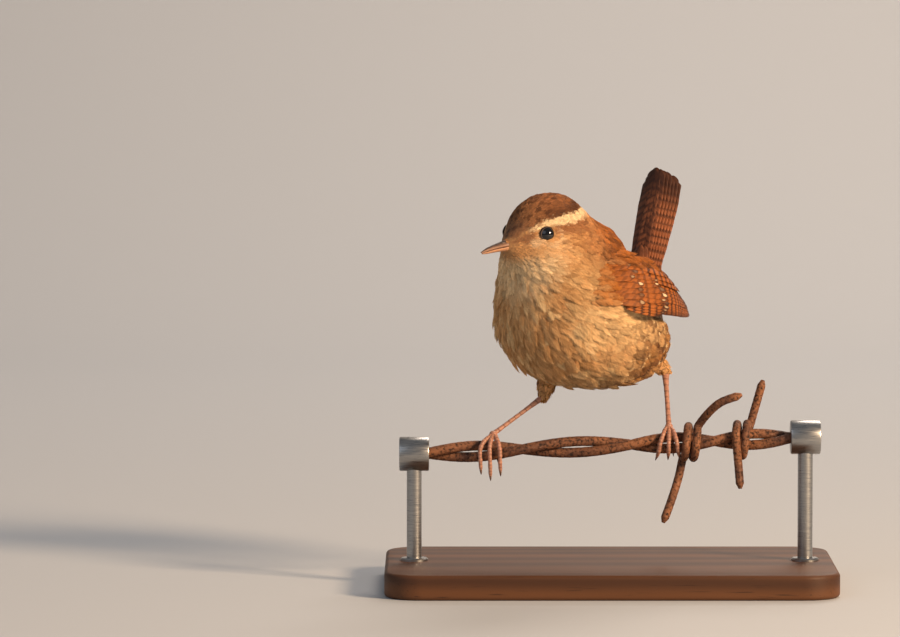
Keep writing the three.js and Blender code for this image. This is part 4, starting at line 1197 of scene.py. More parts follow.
# Joined stiff feathers with their own unwrap, and the numbers that each of them carries for its material
class VaneSet:
    def __init__(self):
        self.points = []
        self.faces = []
        self.vane = []
        self.bake = []
        self.carried = {"bars": [], "pale": [], "duskAndShade": [], "share": []}
        self.count = 0

    def add(self, place, f, draw, shape="long"):
        rows = flight["covertRows"] if shape == "covert" else flight["rows"]
        columns = flight["columns"]
        length = math.hypot(f["x1"] - f["x0"], f["c1"] - f["c0"])
        u = np.linspace(0, 1, rows + 1)[:, None]  # from the root to the tip
        v = np.linspace(-1, 1, columns + 1)[None, :]  # from edge to edge
        half = f["width"] / 2 * read(vaneWidths[shape], u) * (1 + 0 * v)
        notch = 1 - 0.05 * draw.random((rows + 1, 1)) * (np.abs(v) == 1)
        roundTip = (u**6) * f["width"] * 0.2 * (1 - v * v)
        x = f["x0"] + (f["x1"] - f["x0"]) * u + roundTip - 0.12 * np.abs(v) * half
        c = f["c0"] + (f["c1"] - f["c0"]) * u + v * half * notch
        h = f["lift0"] + (f["lift1"] - f["lift0"]) * u - f.get("tilt", 0.4) * v * read(vaneWidths[shape], u)
        h = h + f.get("arch", 0.25) * (1 - v * v) * half / 2 + 0.03 * draw.normal(size=(rows + 1, 1)) * v
        thick = flight["thickness"] * (1 - 0.75 * np.abs(v)) + flight["edge"] + flight["shaft"] * (v == 0)
        top, under = place(x, c, h + thick / 2), place(x, c, h - thick / 2)
        start = sum(len(p) for p in self.points)
        self.points += [top.reshape(-1, 3), under.reshape(-1, 3)]
        index = np.arange((rows + 1) * (columns + 1)).reshape(rows + 1, columns + 1)
        size = index.size
        corners = (index[:-1, :-1], index[1:, :-1], index[1:, 1:], index[:-1, 1:])
        quads = np.stack(corners, axis=-1).reshape(-1, 4) + start
        self.faces += quads.tolist() + (quads[:, ::-1] + size).tolist()
        rim = list(index[:, 0]) + list(index[-1, 1:]) + list(index[-2::-1, -1]) + list(index[0, -2:0:-1])
        rim = np.array(rim) + start
        after = np.roll(rim, -1)
        self.faces += np.stack([after, rim, rim + size, after + size], axis=-1).tolist()
        self.vane += [np.stack([u * length + 0 * v, v + 0 * u], axis=-1).reshape(-1, 2)] * 2
        strip = self.count + 0.5 + 0.42 * v + 0 * u  # a strip of the unwrap for each feather
        for offset in (0.02, 0.52):
            self.bake.append(np.stack([offset + 0.46 * u + 0 * v, strip], axis=-1).reshape(-1, 2))
        for key, usual in (("bars", 1), ("pale", 0), ("duskAndShade", 0)):
            self.carried[key].append(np.full(2 * size, float(f.get(key, usual))))
        self.carried["share"] += [(u + 0 * v).ravel()] * 2
        self.count += 1

    def piece(self, name, material, slot, mirror=False):
        points = np.vstack(self.points)
        faces = self.faces
        if mirror:
            points = points * np.array([1, -1, 1])
            faces = [f[::-1] for f in faces]
        made = makePiece(name, points, faces, material)
        loops = loopPoints(made.data)
        bake = np.vstack(self.bake) / np.array([1, self.count])
        storeUv(made.data, "OFBake", bake[loops])
        storeUv(made.data, "vane", np.vstack(self.vane)[loops])
        for key, values in self.carried.items():
            storeNumber(made.data, key, np.concatenate(values))
        print(name, self.count, "stiff feathers")
        return made


def featherRow(count, first, last):
    # numbers run evenly from the first feather to the last, and a tuple is read along the row
    rows = []
    for i in range(count):
        t = i / (count - 1)
        f = {}
        for key, value in first.items():
            if isinstance(value, tuple):
                f[key] = float(read(value, t))
            else:
                f[key] = value + (last.get(key, value) - value) * t
        rows.append(f)
    return rows


# Rows of the wing's feathers: x runs along the wing, c up across it and h out of it. A feather runs from
# x0, c0 and lift0 to x1, c1 and lift1, and is tilted over its neighbour. The bars, the pale spot and the
# dusk are shares of the full marking.
wingRows = {
    "primaries": featherRow(
        8,
        {
            "x0": 11, "c0": -4.4, "x1": (38, 41, 43.6, 45.6, 47, 47.5, 47, 45.6), "c1": -1.9, "width": 3.3,
            "lift0": 0.35, "lift1": 0.3, "tilt": 0.34, "duskAndShade": (0.75, 0.5, 0.25, 0.1, 0, 0, 0),
        },
        {"c0": -1.4, "c1": 0.7, "lift0": 0.7, "lift1": 0.9},
    ),
    "secondaries": featherRow(
        6,
        {"x0": 11, "c0": -0.8, "x1": 41.5, "c1": 0.5, "width": 4, "lift0": 0.9, "lift1": 1.1, "tilt": 0.38},
        {"c0": 4, "x1": 32.5, "c1": 3.2, "lift0": 1.3, "lift1": 1.5},
    ),
    "tertials": featherRow(
        3,
        {"x0": 12, "c0": 4, "x1": 33, "c1": 3.8, "width": 5, "lift0": 1.6, "lift1": 1.9, "tilt": 0.42},
        {"c0": 6.2, "x1": 25.5, "c1": 6, "lift0": 2, "lift1": 2.3},
    ),
    "primaryCoverts": featherRow(
        5,
        {"x0": 8, "c0": -4.9, "x1": 18.5, "c1": -5.2, "width": 2.4, "lift0": 1, "lift1": 1.1, "pale": 0.6},
        {"c0": -2.6, "x1": 21, "c1": -2.4, "lift0": 1.2, "lift1": 1.3},
    ),
    "greaterCoverts": featherRow(
        9,
        {
            "x0": 7.5, "c0": -1.8, "x1": 19.4, "c1": -1.8, "width": 3.3,
            "lift0": 1.3, "lift1": 1.6, "tilt": 0.35, "pale": 1, "bars": 0.6,
        },
        {"c0": 6.4, "x1": 17, "c1": 7.2, "lift0": 1.8, "lift1": 2.3},
    ),
    "medianCoverts": featherRow(
        8,
        {
            "x0": 3.5, "c0": -3.2, "x1": 12, "c1": -3.6, "width": 3,
            "lift0": 0.9, "lift1": 1.9, "tilt": 0.3, "pale": 1, "bars": 0.5,
        },
        {"c0": 5.6, "x1": 10.6, "c1": 6.6, "lift0": 1.3, "lift1": 2.4},
    ),
    "lesserCoverts": featherRow(
        8,
        {
            "x0": 0.2, "c0": -3, "x1": 7.6, "c1": -3.4, "width": 2.8,
            "lift0": 0, "lift1": 1.7, "tilt": 0.3, "pale": 0, "bars": 0.3,
        },
        {"c0": 5, "x1": 6.6, "c1": 6, "lift0": 0.2, "lift1": 2},
    ),
}


def makeWing(name, node, mirror):
    draw = np.random.default_rng(11 if mirror else 12)
    vanes = VaneSet()
    for row, feathers in wingRows.items():
        shape = "covert" if "Coverts" in row else "long"
        for f in feathers:
            f = dict(f)
            f["x1"] += 0.4 * draw.normal()
            f["c1"] += 0.12 * draw.normal()
            f["duskAndShade"] = f.get("duskAndShade", 0) + 0.24 * draw.random()
            f["pale"] = f.get("pale", 0) * np.clip(1.5 * draw.random() - 0.25, 0, 1)
            vanes.add(wingPlace, f, draw, shape)
    piece = vanes.piece(name, materials["wing"], "wing_feathers", mirror)
    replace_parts(piece, node)


makeWing("wing_plumage_left", "wing_left", False)
makeWing("wing_plumage_right", "wing_right", True)

# Body feathers that lie over the folded wing, from its bend and its upper edge.
# Each zone has its reach along the wing and across it, and its feathers' height, course, number and length.
shoulder = {
    "bend": {"x": (-4.5, 4.4), "c": (-4.8, 7), "h": 1.5, "course": (1, 0), "count": 900, "length": 4.2},
    "scapulars": {"x": (-1, 19), "c": (5.8, 9.6), "h": 2, "course": (1, -0.16), "count": 620, "length": 5.4},
}


def makeShoulder(name, side):
    draw = np.random.default_rng(51 if side > 0 else 52)
    parts = []
    for zone, spec in shoulder.items():
        x = draw.uniform(*spec["x"], spec["count"])
        c = draw.uniform(*spec["c"], spec["count"])
        fade = ramp(x, spec["x"][0], spec["x"][0] + 6)
        h = spec["h"] * fade - 0.6 * (1 - fade) - (0.7 * (zone == "bend") if side < 0 else 0)
        kept = scatter(np.stack([x, c, 0 * x], axis=1), np.full(len(x), 0.85))
        x, c, h = x[kept], c[kept], h[kept]
        at = wingPlace(x, c, h)
        step = 0.2
        onward, across = wingPlace(x + step, c, h) - at, wingPlace(x, c + step, h) - at
        along = unit(onward * spec["course"][0] + across * spec["course"][1])
        flip = np.array([1, side, 1])
        normals = unit(np.cross(onward, across)) * flip
        at, along = at * flip, along * flip
        tint, bars, pale = markings(at + along * 0.5 * spec["length"])
        rusty = ramp(x + draw.normal(0, 1.2, len(x)), -4, 5)[:, None] * (zone == "bend")
        tint = tint * (1 - rusty) + plumeColour["wing"] * rusty
        length = np.full(len(at), spec["length"])
        parts.append(feathersAt(at, normals, along, length, tint, bars, pale, draw, (3, 2.5)))
    data = {key: np.concatenate([part[key] for part in parts]) for key in parts[0]}
    data["kind"] = draw.integers(0, tuft["seeds"], len(data["kind"]))
    makeCoat(name, data)


makeShoulder("coat_shoulder_left", 1)
makeShoulder("coat_shoulder_right", -1)

# Tail: x runs up it from the rump, c to the bird's left, and h towards its back
tail = {
    "root": (-20.9, 0, 5),
    "lean": 18.5,
    "length": 30.4,
    "width": 5,
    "pairs": 6,
    "shorter": 0.09,  # of a pair, by the square of its number
    # for the middle pair, and the change for each pair from there outwards
    "across": (0.35, 0.3),
    "fan": (0.6, 0.85),  # degrees from the middle line
    "lift0": (0.7, -0.36),
    "lift1": (0.8, -0.42),
    "tilt": (0.12, 0.1),
}


def tailPlace(x, c, h):
    lean = math.radians(tail["lean"])
    up = np.array([-math.sin(lean), 0, math.cos(lean)])
    face = np.array([math.cos(lean), 0, math.sin(lean)])
    x, c, h = (np.asarray(v, float)[..., None] for v in np.broadcast_arrays(x, c, h))
    return np.array(tail["root"]) + up * x + face * h + np.array([0, 1, 0]) * c


def makeTail():
    draw = np.random.default_rng(13)
    vanes = VaneSet()
    for pair in range(tail["pairs"]):
        stepped = {}
        for key in ("across", "fan", "lift0", "lift1", "tilt"):
            stepped[key] = tail[key][0] + tail[key][1] * pair
        for side in (-1, 1):
            across = side * stepped["across"]
            length = tail["length"] - tail["shorter"] * pair * pair + 0.25 * draw.normal()
            wide = side * length * math.sin(math.radians(stepped["fan"]))
            # dusk: painted shade of 0.4 on the bird's right half of the tail, the half turned from the key
            # light, plus a random darker tone
            vanes.add(tailPlace, {
                "x0": -1, "c0": across, "x1": length, "c1": across + wide, "width": tail["width"],
                "lift0": stepped["lift0"], "lift1": stepped["lift1"], "tilt": side * stepped["tilt"],
                "bars": 1, "arch": 0.12, "duskAndShade": 0.2 - 0.2 * side + 0.16 * draw.random(),
            }, draw)
    # short coverts over its root, above and below
    for face, length, width in ((1, 11.5, 4), (-1, 13, 4.6)):
        for c in np.linspace(-2.6, 2.6, 7):
            far = abs(c)
            vanes.add(tailPlace, {
                "x0": -2, "c0": c, "x1": length - 1.1 * far + 0.4 * draw.normal(), "c1": c * 1.25,
                "width": width,
                "lift0": (1.9 if face > 0 else -3.1) - face * 0.25 * far,
                "lift1": (1.5 if face > 0 else -2.6) - face * 0.3 * far,
                "tilt": 0.25 * np.sign(c) * face, "bars": 0.55, "pale": 0.0 if face > 0 else 0.9,
            }, draw, "covert")
    piece = vanes.piece("tail_plumage", materials["tail"], "tail_feathers")
    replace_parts(piece, "tail")


makeTail()


# Round forms along a line


def tubeRings(line, radii, sides, flat=1.0, hint=(0, 0, 1)):
    line = np.asarray(line, float)
    radii = np.broadcast_to(radii, len(line))
    course = unit(np.gradient(line, axis=0))
    side = unit(np.cross(np.array(hint, float), course[0]))
    rings = []
    for p, t, r in zip(line, course, radii):
        side = unit(side - t * (side @ t))
        other = np.cross(t, side)
        angles = np.arange(sides) * 2 * math.pi / sides
        rings.append(p + r * (np.cos(angles)[:, None] * side + flat * np.sin(angles)[:, None] * other))
    return np.array(rings)


def ringFaces(rings, sides, start=0):
    faces = []
    for i in range(rings - 1):
        for j in range(sides):
            m = (j + 1) % sides
            a = start + i * sides
            faces.append((a + j, a + m, a + sides + m, a + sides + j))
    faces.append(tuple(start + j for j in reversed(range(sides))))
    faces.append(tuple(start + (rings - 1) * sides + j for j in range(sides)))
    return faces


def joinTubes(tubes, sides):
    points, faces, start = [], [], 0
    for rings in tubes:
        points.append(rings.reshape(-1, 3))
        faces += ringFaces(len(rings), sides, start)
        start += len(rings) * sides
    return np.vstack(points), faces


# Bill: two halves of horn with a ridge along the top and a groove round each nostril
bill = {
    "root": 8.6,
    "tip": 21.2,
    "shorter": 0.35,  # the lower half
    "droop": 0.0085,
    "width": 3.3,
    "upper": 1.75,
    "lower": 1.35,
    "mouth": 0.16,
    "taper": (1, 0.74, 0.56, 0.42, 0.3, 0.1),
    "sink": (1, 0.8, 0.66, 0.54, 0.42, 0.14),
    "nostril": {"at": 3, "reach": 0.75, "level": 0.8, "width": 0.16, "depth": 0.3},
    "sides": 40,
    "steps": 60,
}


def billRise(angles, upper):  # the upper half is fuller in its section
    return np.sin(angles) ** (0.85 if upper > 0 else 1.0)


def billOutline(x, angles, upper):  # points on one half of the bill, from its left edge over to its right
    x = np.asarray(x, float)
    out = np.maximum(x - billPlace["edge"], 0)
    share = out / (bill["tip"] - billPlace["edge"])
    height = (bill["upper"] if upper > 0 else bill["lower"]) * read(bill["sink"], share)
    seat = billPlace["lift"] - bill["droop"] * out**2 + upper * bill["mouth"] / 2
    half = bill["width"] / 2 * read(bill["taper"], share)
    across = half * np.cos(angles) * (1 - 0.12 * np.sin(angles) ** 2)
    return np.stack([x, across, seat + upper * height * billRise(angles, upper)], axis=-1)


# Small feathers that run back from the horn, over the root of the bill
billEdge = {"from": 9.4, "front": 13.8, "gape": 13.1, "spacing": 0.23, "length": 1.1, "count": 7000}


def makeBillEdge():
    draw = np.random.default_rng(61)
    parts = []
    for upper in (1, -1):
        angles = draw.uniform(0.04, math.pi - 0.04, billEdge["count"])
        level = np.sin(angles)
        front = billEdge["gape"] + (billEdge["front"] - billEdge["gape"]) * ramp(level, 0.1, 0.6)
        x = billEdge["from"] + (front - billEdge["from"]) * draw.random(len(angles)) ** 0.8
        at, step = billOutline(x, angles, upper), 0.02
        back = unit(billOutline(x - step, angles, upper) - at)
        girth = unit(billOutline(x, angles + step, upper) - at)
        normals = unit(np.cross(back, girth))
        spoke = (at - [0, 0, billPlace["lift"]]) * [0, 1, 1]
        normals *= np.sign(np.sum(normals * spoke, axis=1, keepdims=True))
        kept = scatter(at, np.full(len(at), billEdge["spacing"]))
        at, back, normals, front, x = at[kept], back[kept], normals[kept], front[kept], x[kept]
        tint = markings(fromHead(at + back * 1.6 + normals * 0.5))[0]
        course, normals = back @ headSpace[:3, :3].T, normals @ headSpace[:3, :3].T
        length = billEdge["length"] * (0.75 + 0.35 * ramp(front - x, 0, 2))
        plain = np.zeros(len(at))
        parts.append(feathersAt(fromHead(at), normals, course, length, tint, plain, plain, draw, (12, 4)))
    data = {key: np.concatenate([part[key] for part in parts]) for key in parts[0]}
    data["kind"] = tuft["seeds"] + draw.integers(0, tuft["seeds"], len(data["kind"]))
    makeCoat("coat_bill_edge", data)


def makeBill(name, node, upper, material):
    angles = np.linspace(0, math.pi, bill["sides"] // 2 + 1)
    inner = np.linspace(-1, 1, bill["sides"] // 2 + 1)[1:-1]  # across the inside, where the halves meet
    pit = bill["nostril"]
    rings, ridge = [], []
    for x in np.linspace(bill["root"], bill["tip"] - (0 if upper > 0 else bill["shorter"]), bill["steps"]):
        arc = billOutline(np.full_like(angles, x), angles, upper)
        edge, crest = arc[0].copy(), arc[len(arc) // 2]
        vault = edge[2] + 0.12 * (crest[2] - edge[2]) * (1 - inner**2)
        floor = np.stack([np.full_like(inner, x), edge[1] * inner, vault], axis=1)
        near = math.exp(-(((x - billPlace["edge"] - pit["at"]) / pit["reach"]) ** 2)) if upper > 0 else 0
        level = np.exp(-(((np.abs(np.cos(angles)) - pit["level"]) / pit["width"]) ** 2))
        arc[:, 1] *= 1 - pit["depth"] * near * level
        rings.append(np.vstack([arc, floor]))
        ridge += list(billRise(angles, upper)) + [0] * len(inner)
    faces = ringFaces(bill["steps"], len(rings[0]))
    piece = makePiece(name, fromHead(np.vstack(rings)), faces, material)
    storeNumber(piece.data, "ridge", np.array(ridge))
    fixNormals(piece)
    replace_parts(piece, node)


makeBill("bill_horn_upper", "bill_upper", 1, materials["billUpper"])
makeBill("bill_horn_lower", "bill_lower", -1, materials["billLower"])
makeBillEdge()


# Eyes, each with a rim of bare lid
eyeRings = {"ball": (40, 48), "lid": (48, 10), "fold": (0.1, 0.17)}


def makeEye(name, node, side):
    d = sphereDirections(*eyeRings["ball"])[:, [1, 0, 2]] * np.array([1, side, 1])  # the pole looks outwards
    centre = np.array(eye["at"]) * np.array([1, side, 1])
    gaze = unit(np.array([0.32, side, 0.05]))
    towards = d @ gaze
    bulge = 1 + 0.05 * ramp(towards, 0.7, 0.98)
    points = fromHead(centre + d * eye["radius"] * bulge[:, None])
    piece = makePiece(name, points, sphereFaces(*eyeRings["ball"]), materials["eye"])
    storeNumber(piece.data, "pupil", towards)
    fixNormals(piece)
    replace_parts(piece, node)
    makeLid("lid_" + name, centre, gaze)


def makeLid(name, centre, gaze):
    # a thin fleshy ring that hugs the ball
    around, sides = eyeRings["lid"]
    sideways = unit(np.cross(gaze, [0, 0, 1]))
    up = np.cross(sideways, gaze)
    depth = math.sqrt(eye["radius"] ** 2 - eye["lid"] ** 2)
    turn = np.linspace(0, 2 * math.pi, sides + 1)[:-1, None]
    rings, faces = [], []
    for i, angle in enumerate(np.linspace(0, 2 * math.pi, around + 1)[:-1]):
        spoke = math.cos(angle) * sideways * 1.05 + math.sin(angle) * up * 0.94
        rim = centre + spoke * eye["lid"] + gaze * depth
        out, flat = eyeRings["fold"]
        rings.append(rim + out * np.cos(turn) * unit(rim - centre) + flat * np.sin(turn) * unit(spoke))
        a, b = i * sides, ((i + 1) % around) * sides
        for j in range(sides):
            m = (j + 1) % sides
            faces.append((a + j, a + m, b + m, b + j))
    lid = makePiece(name, fromHead(np.vstack(rings)), faces, materials["lid"])
    fixNormals(lid)


makeEye("eye_ball_left", "eye_left", 1)
makeEye("eye_ball_right", "eye_right", -1)
print("head details made")

# Wire, as the solids have it
wire = {"height": 33.8, "rise": 0.043, "strand": 1.2, "gap": 0.3, "reach": 47,
        "crossings": (-66, -45, -21.8, 4.6, 24.5, 43.2, 64)}
barb = {"radius": 1.0, "pitch": 2.4}
orbit = wire["strand"] + wire["gap"] / 2


def wireZ(x):
    return wire["height"] + wire["rise"] * np.asarray(x, float)


def makeStrand(which):
    x = np.linspace(-wire["reach"], wire["reach"], 240)
    angle = math.pi * (np.interp(x, wire["crossings"], np.arange(len(wire["crossings"]))) + which)
    line = np.stack([x, -orbit * np.cos(angle), wireZ(x) + orbit * np.sin(angle)], axis=1)
    rings = tubeRings(line, wire["strand"] * (1 + 0.012 * np.sin(x * 3.1) + 0.01 * np.sin(x * 7.7)), 28)
    points, faces = joinTubes([rings], 28)
    piece = makePiece(f"strand_{which + 1}", points, faces, materials["rust"], bird=False)
    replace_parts(piece, f"wire_strand_{which + 1}")


def roundWire(x, psi, radius):
    psi = np.radians(psi)
    return np.stack(np.broadcast_arrays(x, -radius * np.sin(psi), wireZ(x) + radius * np.cos(psi)), axis=-1)


barbs = [
    {"x0": 21.2, "psi0": 10, "turns": 1.5,
     "tips": [[(31.4, -6.6, 46.6), (26, -5.6, 44.4)],
              [(16.6, 1.4, 26), (14.8, -0.6, 20.6), (12.8, -2, 15.4)]]},
    {"x0": 33.4, "psi0": -60, "turns": 1.35,
     "tips": [[(37, 4.6, 49.2), (35, 5, 42)], [(30.8, -3.6, 29), (31.2, -4.4, 23.8)]]},
]


def makeBarb(number, spec):
    radius = orbit + wire["strand"] + wire["gap"] + barb["radius"]
    steps = round(spec["turns"] * 10)
    turn = np.arange(steps + 1) * spec["turns"] / steps
    wrap = roundWire(spec["x0"] - barb["pitch"] * turn, spec["psi0"] + 360 * turn, radius)
    line, length = smoothLine(np.vstack([spec["tips"][0], wrap, spec["tips"][1]]), 260)
    run = np.linspace(0, length, len(line))
    end = np.minimum(run, length - run)
    radii = barb["radius"] * (0.42 + 0.58 * np.clip(end / 1.3, 0, 1)) * (1 + 0.015 * np.sin(run * 4.3))
    points, faces = joinTubes([tubeRings(line, radii, 24)], 24)
    piece = makePiece(f"barb_wire_{number}", points, faces, materials["rust"], bird=False)
    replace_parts(piece, f"barb_{number}")


makeStrand(0)
makeStrand(1)
for number, spec in enumerate(barbs, 1):
    makeBarb(number, spec)

# Legs and feet. The toes follow the wire at these angles round it, counted from its top towards the viewer.
# Those of the hanging and the gripping foot also have how far they stand off.
toe = {
    "radius": 0.52,
    "claw": 0.36,
    "palm": 0.95,
    "clear": 3.45,
    "ball": ((0, 0, 0.75), (0, -0.1, 0.35), (0, -0.2, 0), (0, -0.2, -0.35), (0, -0.2, -0.62)),
    "hanging": ((18, 0.1), (48, 0.02), (82, 0)),
    "gripping": ((18, 0.1), (50, 0.02), (85, 0), (118, 0), (146, 0.05)),
    "behind": (-22, -55, -92, -122),
    "scute": 0.8,
    "sides": 20,
}
shank = {"radius": 0.6, "outline": (1.5, 1.35, 1.02, 0.95, 0.95, 1.0, 1.2), "flat": 0.86, "scute": 1.7}
legs = {
    "right": {"inside": (-1, -8, -8), "ankle": (-15.8, 5.5, 45.2), "footX": -28, "hang": True,
              "drifts": ((-3.2, -0.4), (-0.9, 1.2), (1.5, 0.2))},
    "left": {"inside": (-13, 8, -4), "ankle": (13.6, 9.2, 51), "footX": 14.2, "hang": False,
             "drifts": ((-2.9, 0), (-0.2, 0), (2.4, 0))},
}


def scaled(line, length, base, seams):
    # a radius with a fine step at each scute, and how far each ring is down in a seam
    run = np.linspace(0, length, len(line))
    phase = (run / seams) % 1
    seam = np.exp(-((np.minimum(phase, 1 - phase) / 0.09) ** 2))
    return base * (1 + 0.05 * (phase - 0.5) - 0.07 * seam), seam


def makeShank(name, leg, palm):
    ankle = np.array(leg["ankle"], float)
    line, length = smoothLine([ankle + (ankle - palm) * 0.06, ankle, (ankle + palm) / 2, palm], 150)
    base = shank["radius"] * read(shank["outline"], np.linspace(0, 1, len(line)))
    radii, seam = scaled(line, length, base, shank["scute"])
    points, faces = joinTubes([tubeRings(line, radii, toe["sides"], shank["flat"])], toe["sides"])
    piece = makePiece("shank_" + name, points, faces, materials["leg"], bird=False)
    storeNumber(piece.data, "seam", np.repeat(seam, toe["sides"]))
    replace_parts(piece, "tarsus_" + name)


def toeLines(leg, palm):
    # three toes forward over the wire, and one back
    bend = toe["hanging"] if leg["hang"] else toe["gripping"]
    lines = []
    for drift, extra in leg["drifts"]:
        path = [palm]
        for i, (psi, off) in enumerate(bend):
            x = leg["footX"] + drift * read((0.3, 0.75, 1), i / (len(bend) - 1))
            path.append(roundWire(x, psi, toe["clear"] + off))
        if leg["hang"]:
            start = roundWire(leg["footX"] + drift, 90, toe["clear"])
            path += [start + np.array([0.1, -0.1, -2.4]), start + np.array([0.2, 0.3, -4.6 - extra])]
        lines.append(path)
    back = [palm]
    for i, psi in enumerate(toe["behind"]):
        back.append(roundWire(leg["footX"] + 0.6 + 0.15 * i, psi, toe["clear"] + 0.05))
    return lines + [back]


def clawLine(line, hang):
    last = line[-1]
    onward = unit(last - line[-5])
    inward = np.array([last[0], 0, float(wireZ(last[0]))]) - last
    inward = unit(inward * np.array([0, 1, 1])) * (0.7 if hang else 0.25)
    curls = ((-0.5, 0), (0.4, 0), (1.1, 0.3), (1.9, 1))
    return smoothLine([last + onward * reach + inward * curl for reach, curl in curls], 30)[0]


def makeFoot(name, leg, palm):
    sides = toe["sides"]
    ballLine = smoothLine([palm + d for d in np.array(toe["ball"])], 20)[0]
    ballRadii = toe["palm"] * np.sqrt(np.clip(1 - np.linspace(-1, 1, 20) ** 2, 0.02, 1))
    tubes = [tubeRings(ballLine, ballRadii, sides, hint=(1, 0, 0))]
    seams = [np.zeros(20)]
    claws, clawSeams = [], []
    for path in toeLines(leg, palm):
        line, length = smoothLine(path, 90)
        share = np.linspace(0, 1, len(line))
        base = toe["radius"] * read((1.1, 1, 0.95, 1, 0.9, 0.92, 0.72), share)
        base = base * (1 + 0.1 * np.sin(share * math.pi * 7) ** 2)  # pads under each joint
        radii, seam = scaled(line, length, base, toe["scute"])
        radii[-1] *= 0.5
        tubes.append(tubeRings(line, radii, sides))
        seams.append(seam)
        down = np.linspace(0, 1, 30)
        clawRadii = toe["claw"] * read((1, 0.9, 0.7, 0.45, 0.12), down)
        claws.append(tubeRings(clawLine(line, leg["hang"]), clawRadii, sides, 0.8))
        clawSeams.append(down)
    for piece, rings, values, material in (
        ("toes_", tubes, seams, "leg"),
        ("claws_", claws, clawSeams, "claw"),
    ):
        points, faces = joinTubes(rings, sides)
        made = makePiece(piece + name, points, faces, materials[material], bird=False)
        storeNumber(made.data, "seam", np.repeat(np.concatenate(values), sides))
        if piece == "toes_":
            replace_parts(made, "foot_" + name)


def makeLeg(name, leg):
    palm = roundWire(leg["footX"], 0, toe["clear"] + 0.55)
    makeShank(name, leg, palm)
    makeFoot(name, leg, palm)


# Thighs: a downy sleeve of small feathers that ends at the ankle
thigh = {"radii": (4.3, 3.5, 2.5, 1.25), "depth": 0.55, "count": 900, "steps": 80, "sides": 32}


def makeThigh(name, leg):
    top, end = np.array(leg["inside"], float), toBird([leg["ankle"]])[0]
    knee = top + (end - top) * 0.55 + np.array([0.8, 0, -0.6])
    steps, sides = thigh["steps"], thigh["sides"]
    line = smoothLine([top, knee, end], steps)[0]
    radii = read(thigh["radii"], np.linspace(0, 1, steps)) - thigh["depth"]
    rings = tubeRings(line, radii, sides)
    points, faces = joinTubes([rings], sides)
    sleeve = makePiece("thigh_skin_" + name, points, faces, materials["skin"])
    storeColour(sleeve.data, "tint", np.tile(plumeColour["flank"], (len(points), 1)))
    draw = np.random.default_rng(31 if name == "left" else 32)
    t = draw.random(thigh["count"]) ** 0.8
    angle = draw.random(thigh["count"]) * 2 * math.pi
    index = np.clip((t * (steps - 1)).astype(int), 0, steps - 1)
    course = unit(np.gradient(line, axis=0))[index]
    columns = (angle / (2 * math.pi) * sides).astype(int) % sides
    at = rings[index, columns]
    normals = unit(at - line[index])
    outside = plumage(at) > -1.2
    at, normals, course, t = at[outside], normals[outside], course[outside], t[outside]
    size = 3.2 - 1.5 * t
    count = len(at)
    # painted light: most tufts take the breast colour brightened by a quarter, to light a thigh that lies in
    # the body's shade
    tints = np.where(draw.random((count, 1)) < 0.3, plumeColour["flank"], plumeColour["breast"] * 1.25)
    bars, pale = np.full(count, 0.4), np.full(count, 0.3)
    data = feathersAt(at, normals, course, size, tints, bars, pale, draw, (6, 5))
    data["root"] = np.stack([angle[outside] / (2 * math.pi), t, 0 * t], axis=1)
    data["kind"] = tuft["seeds"] + draw.integers(0, tuft["seeds"], count)
    makeCoat("coat_thigh_" + name, data)


for name, leg in legs.items():
    makeLeg(name, leg)
    makeThigh(name, leg)

# Stand
stand = {"length": 108, "depth": 66, "height": 6, "corner": 9, "bevel": 1,
         "rodAt": 47, "rod": 1.8, "collar": 4.1, "collarHalf": 3.6, "collarEdge": 0.35,
         "flange": 1.5, "flangeHeight": 0.8, "flangeEdge": 0.3, "hub": 0.05}


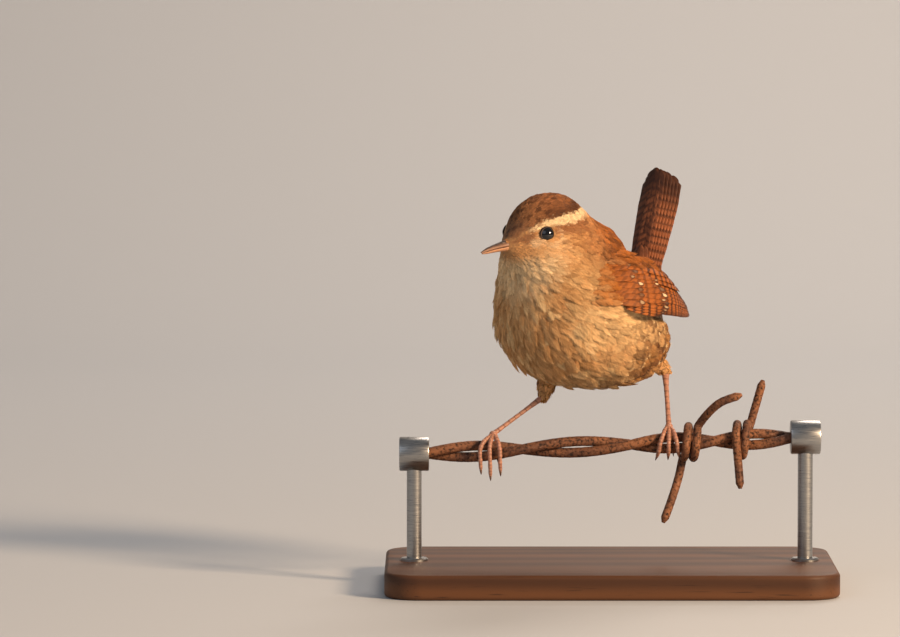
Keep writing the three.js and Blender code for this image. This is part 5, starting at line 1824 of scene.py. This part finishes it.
def makeBase():
    x, y, r = stand["length"] / 2 - stand["corner"], stand["depth"] / 2 - stand["corner"], stand["corner"]
    quarter = np.linspace(0, math.pi / 2, 17)
    outline = []
    for turn, (sx, sy) in enumerate(((1, 1), (-1, 1), (-1, -1), (1, -1))):
        outline += [(sx * x, sy * y, a + turn * math.pi / 2) for a in quarter]
    rings = []
    for end, way in ((0, 1), (stand["height"], -1)):
        for a in np.linspace(0, math.pi / 2, 9)[::way]:
            bent = r - stand["bevel"] * (1 - math.sin(a))
            z = end + way * stand["bevel"] * (1 - math.cos(a))
            rings.append([(cx + bent * math.cos(t), cy + bent * math.sin(t), z) for cx, cy, t in outline])
    rings = np.array(rings)
    points, faces = joinTubes([rings], rings.shape[1])
    piece = makePiece("base_board", points, faces, materials["walnut"], bird=False)
    piece.data.set_sharp_from_angle(angle=math.radians(35))
    fixNormals(piece)
    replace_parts(piece, "stand_base")


def turned(profile, sides, axis, centre):
    # a turned form: profile is (along, radius) pairs, and each end is closed in towards the axis
    angles = np.arange(sides) * 2 * math.pi / sides
    start, end = (profile[0][0], stand["hub"]), (profile[-1][0], stand["hub"])
    rings = []
    for along, radius in (start, *profile, end):
        a, b, c = np.full(sides, along), radius * np.cos(angles), radius * np.sin(angles)
        rings.append(np.stack([b, c, a] if axis == "z" else [a, b, c], axis=1))
    return np.array(rings) + np.array(centre)


def makeRod(name, side):
    x = side * stand["rodAt"]
    top = float(wireZ(x))
    r, c, half, edge = stand["rod"], stand["collar"], stand["collarHalf"], stand["collarEdge"]
    foot = stand["height"] - 0.02  # just inside the wood
    shaft = turned([(foot - 1, r), (foot, r), (top, r)], 48, "z", (x, 0, 0))
    profile = [(-half, c - edge), (-half + edge * 0.3, c - edge * 0.3), (-half + edge, c)]
    profile += [(half - edge, c), (half - edge * 0.3, c - edge * 0.3), (half, c - edge)]
    collar = turned(profile, 64, "x", (x, 0, top))
    wide, upper = r + stand["flange"], foot + stand["flangeHeight"]
    low = upper - stand["flangeEdge"]
    profile = [(foot, wide), (low, wide), (upper, wide - stand["flangeEdge"])]
    washer = turned(profile, 48, "z", (x, 0, 0))
    points, faces, start = [], [], 0
    for rings in (shaft, collar, washer):
        points.append(rings.reshape(-1, 3))
        faces += ringFaces(len(rings), rings.shape[1], start)
        start += rings.shape[0] * rings.shape[1]
    piece = makePiece(name, np.vstack(points), faces, materials["steel"], bird=False)
    piece.data.set_sharp_from_angle(angle=math.radians(28))
    fixNormals(piece)
    return piece


makeBase()
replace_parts(makeRod("rod_left", -1), "stand_rod_left")
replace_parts(makeRod("rod_right", 1), "stand_rod_right")
print("stand made")
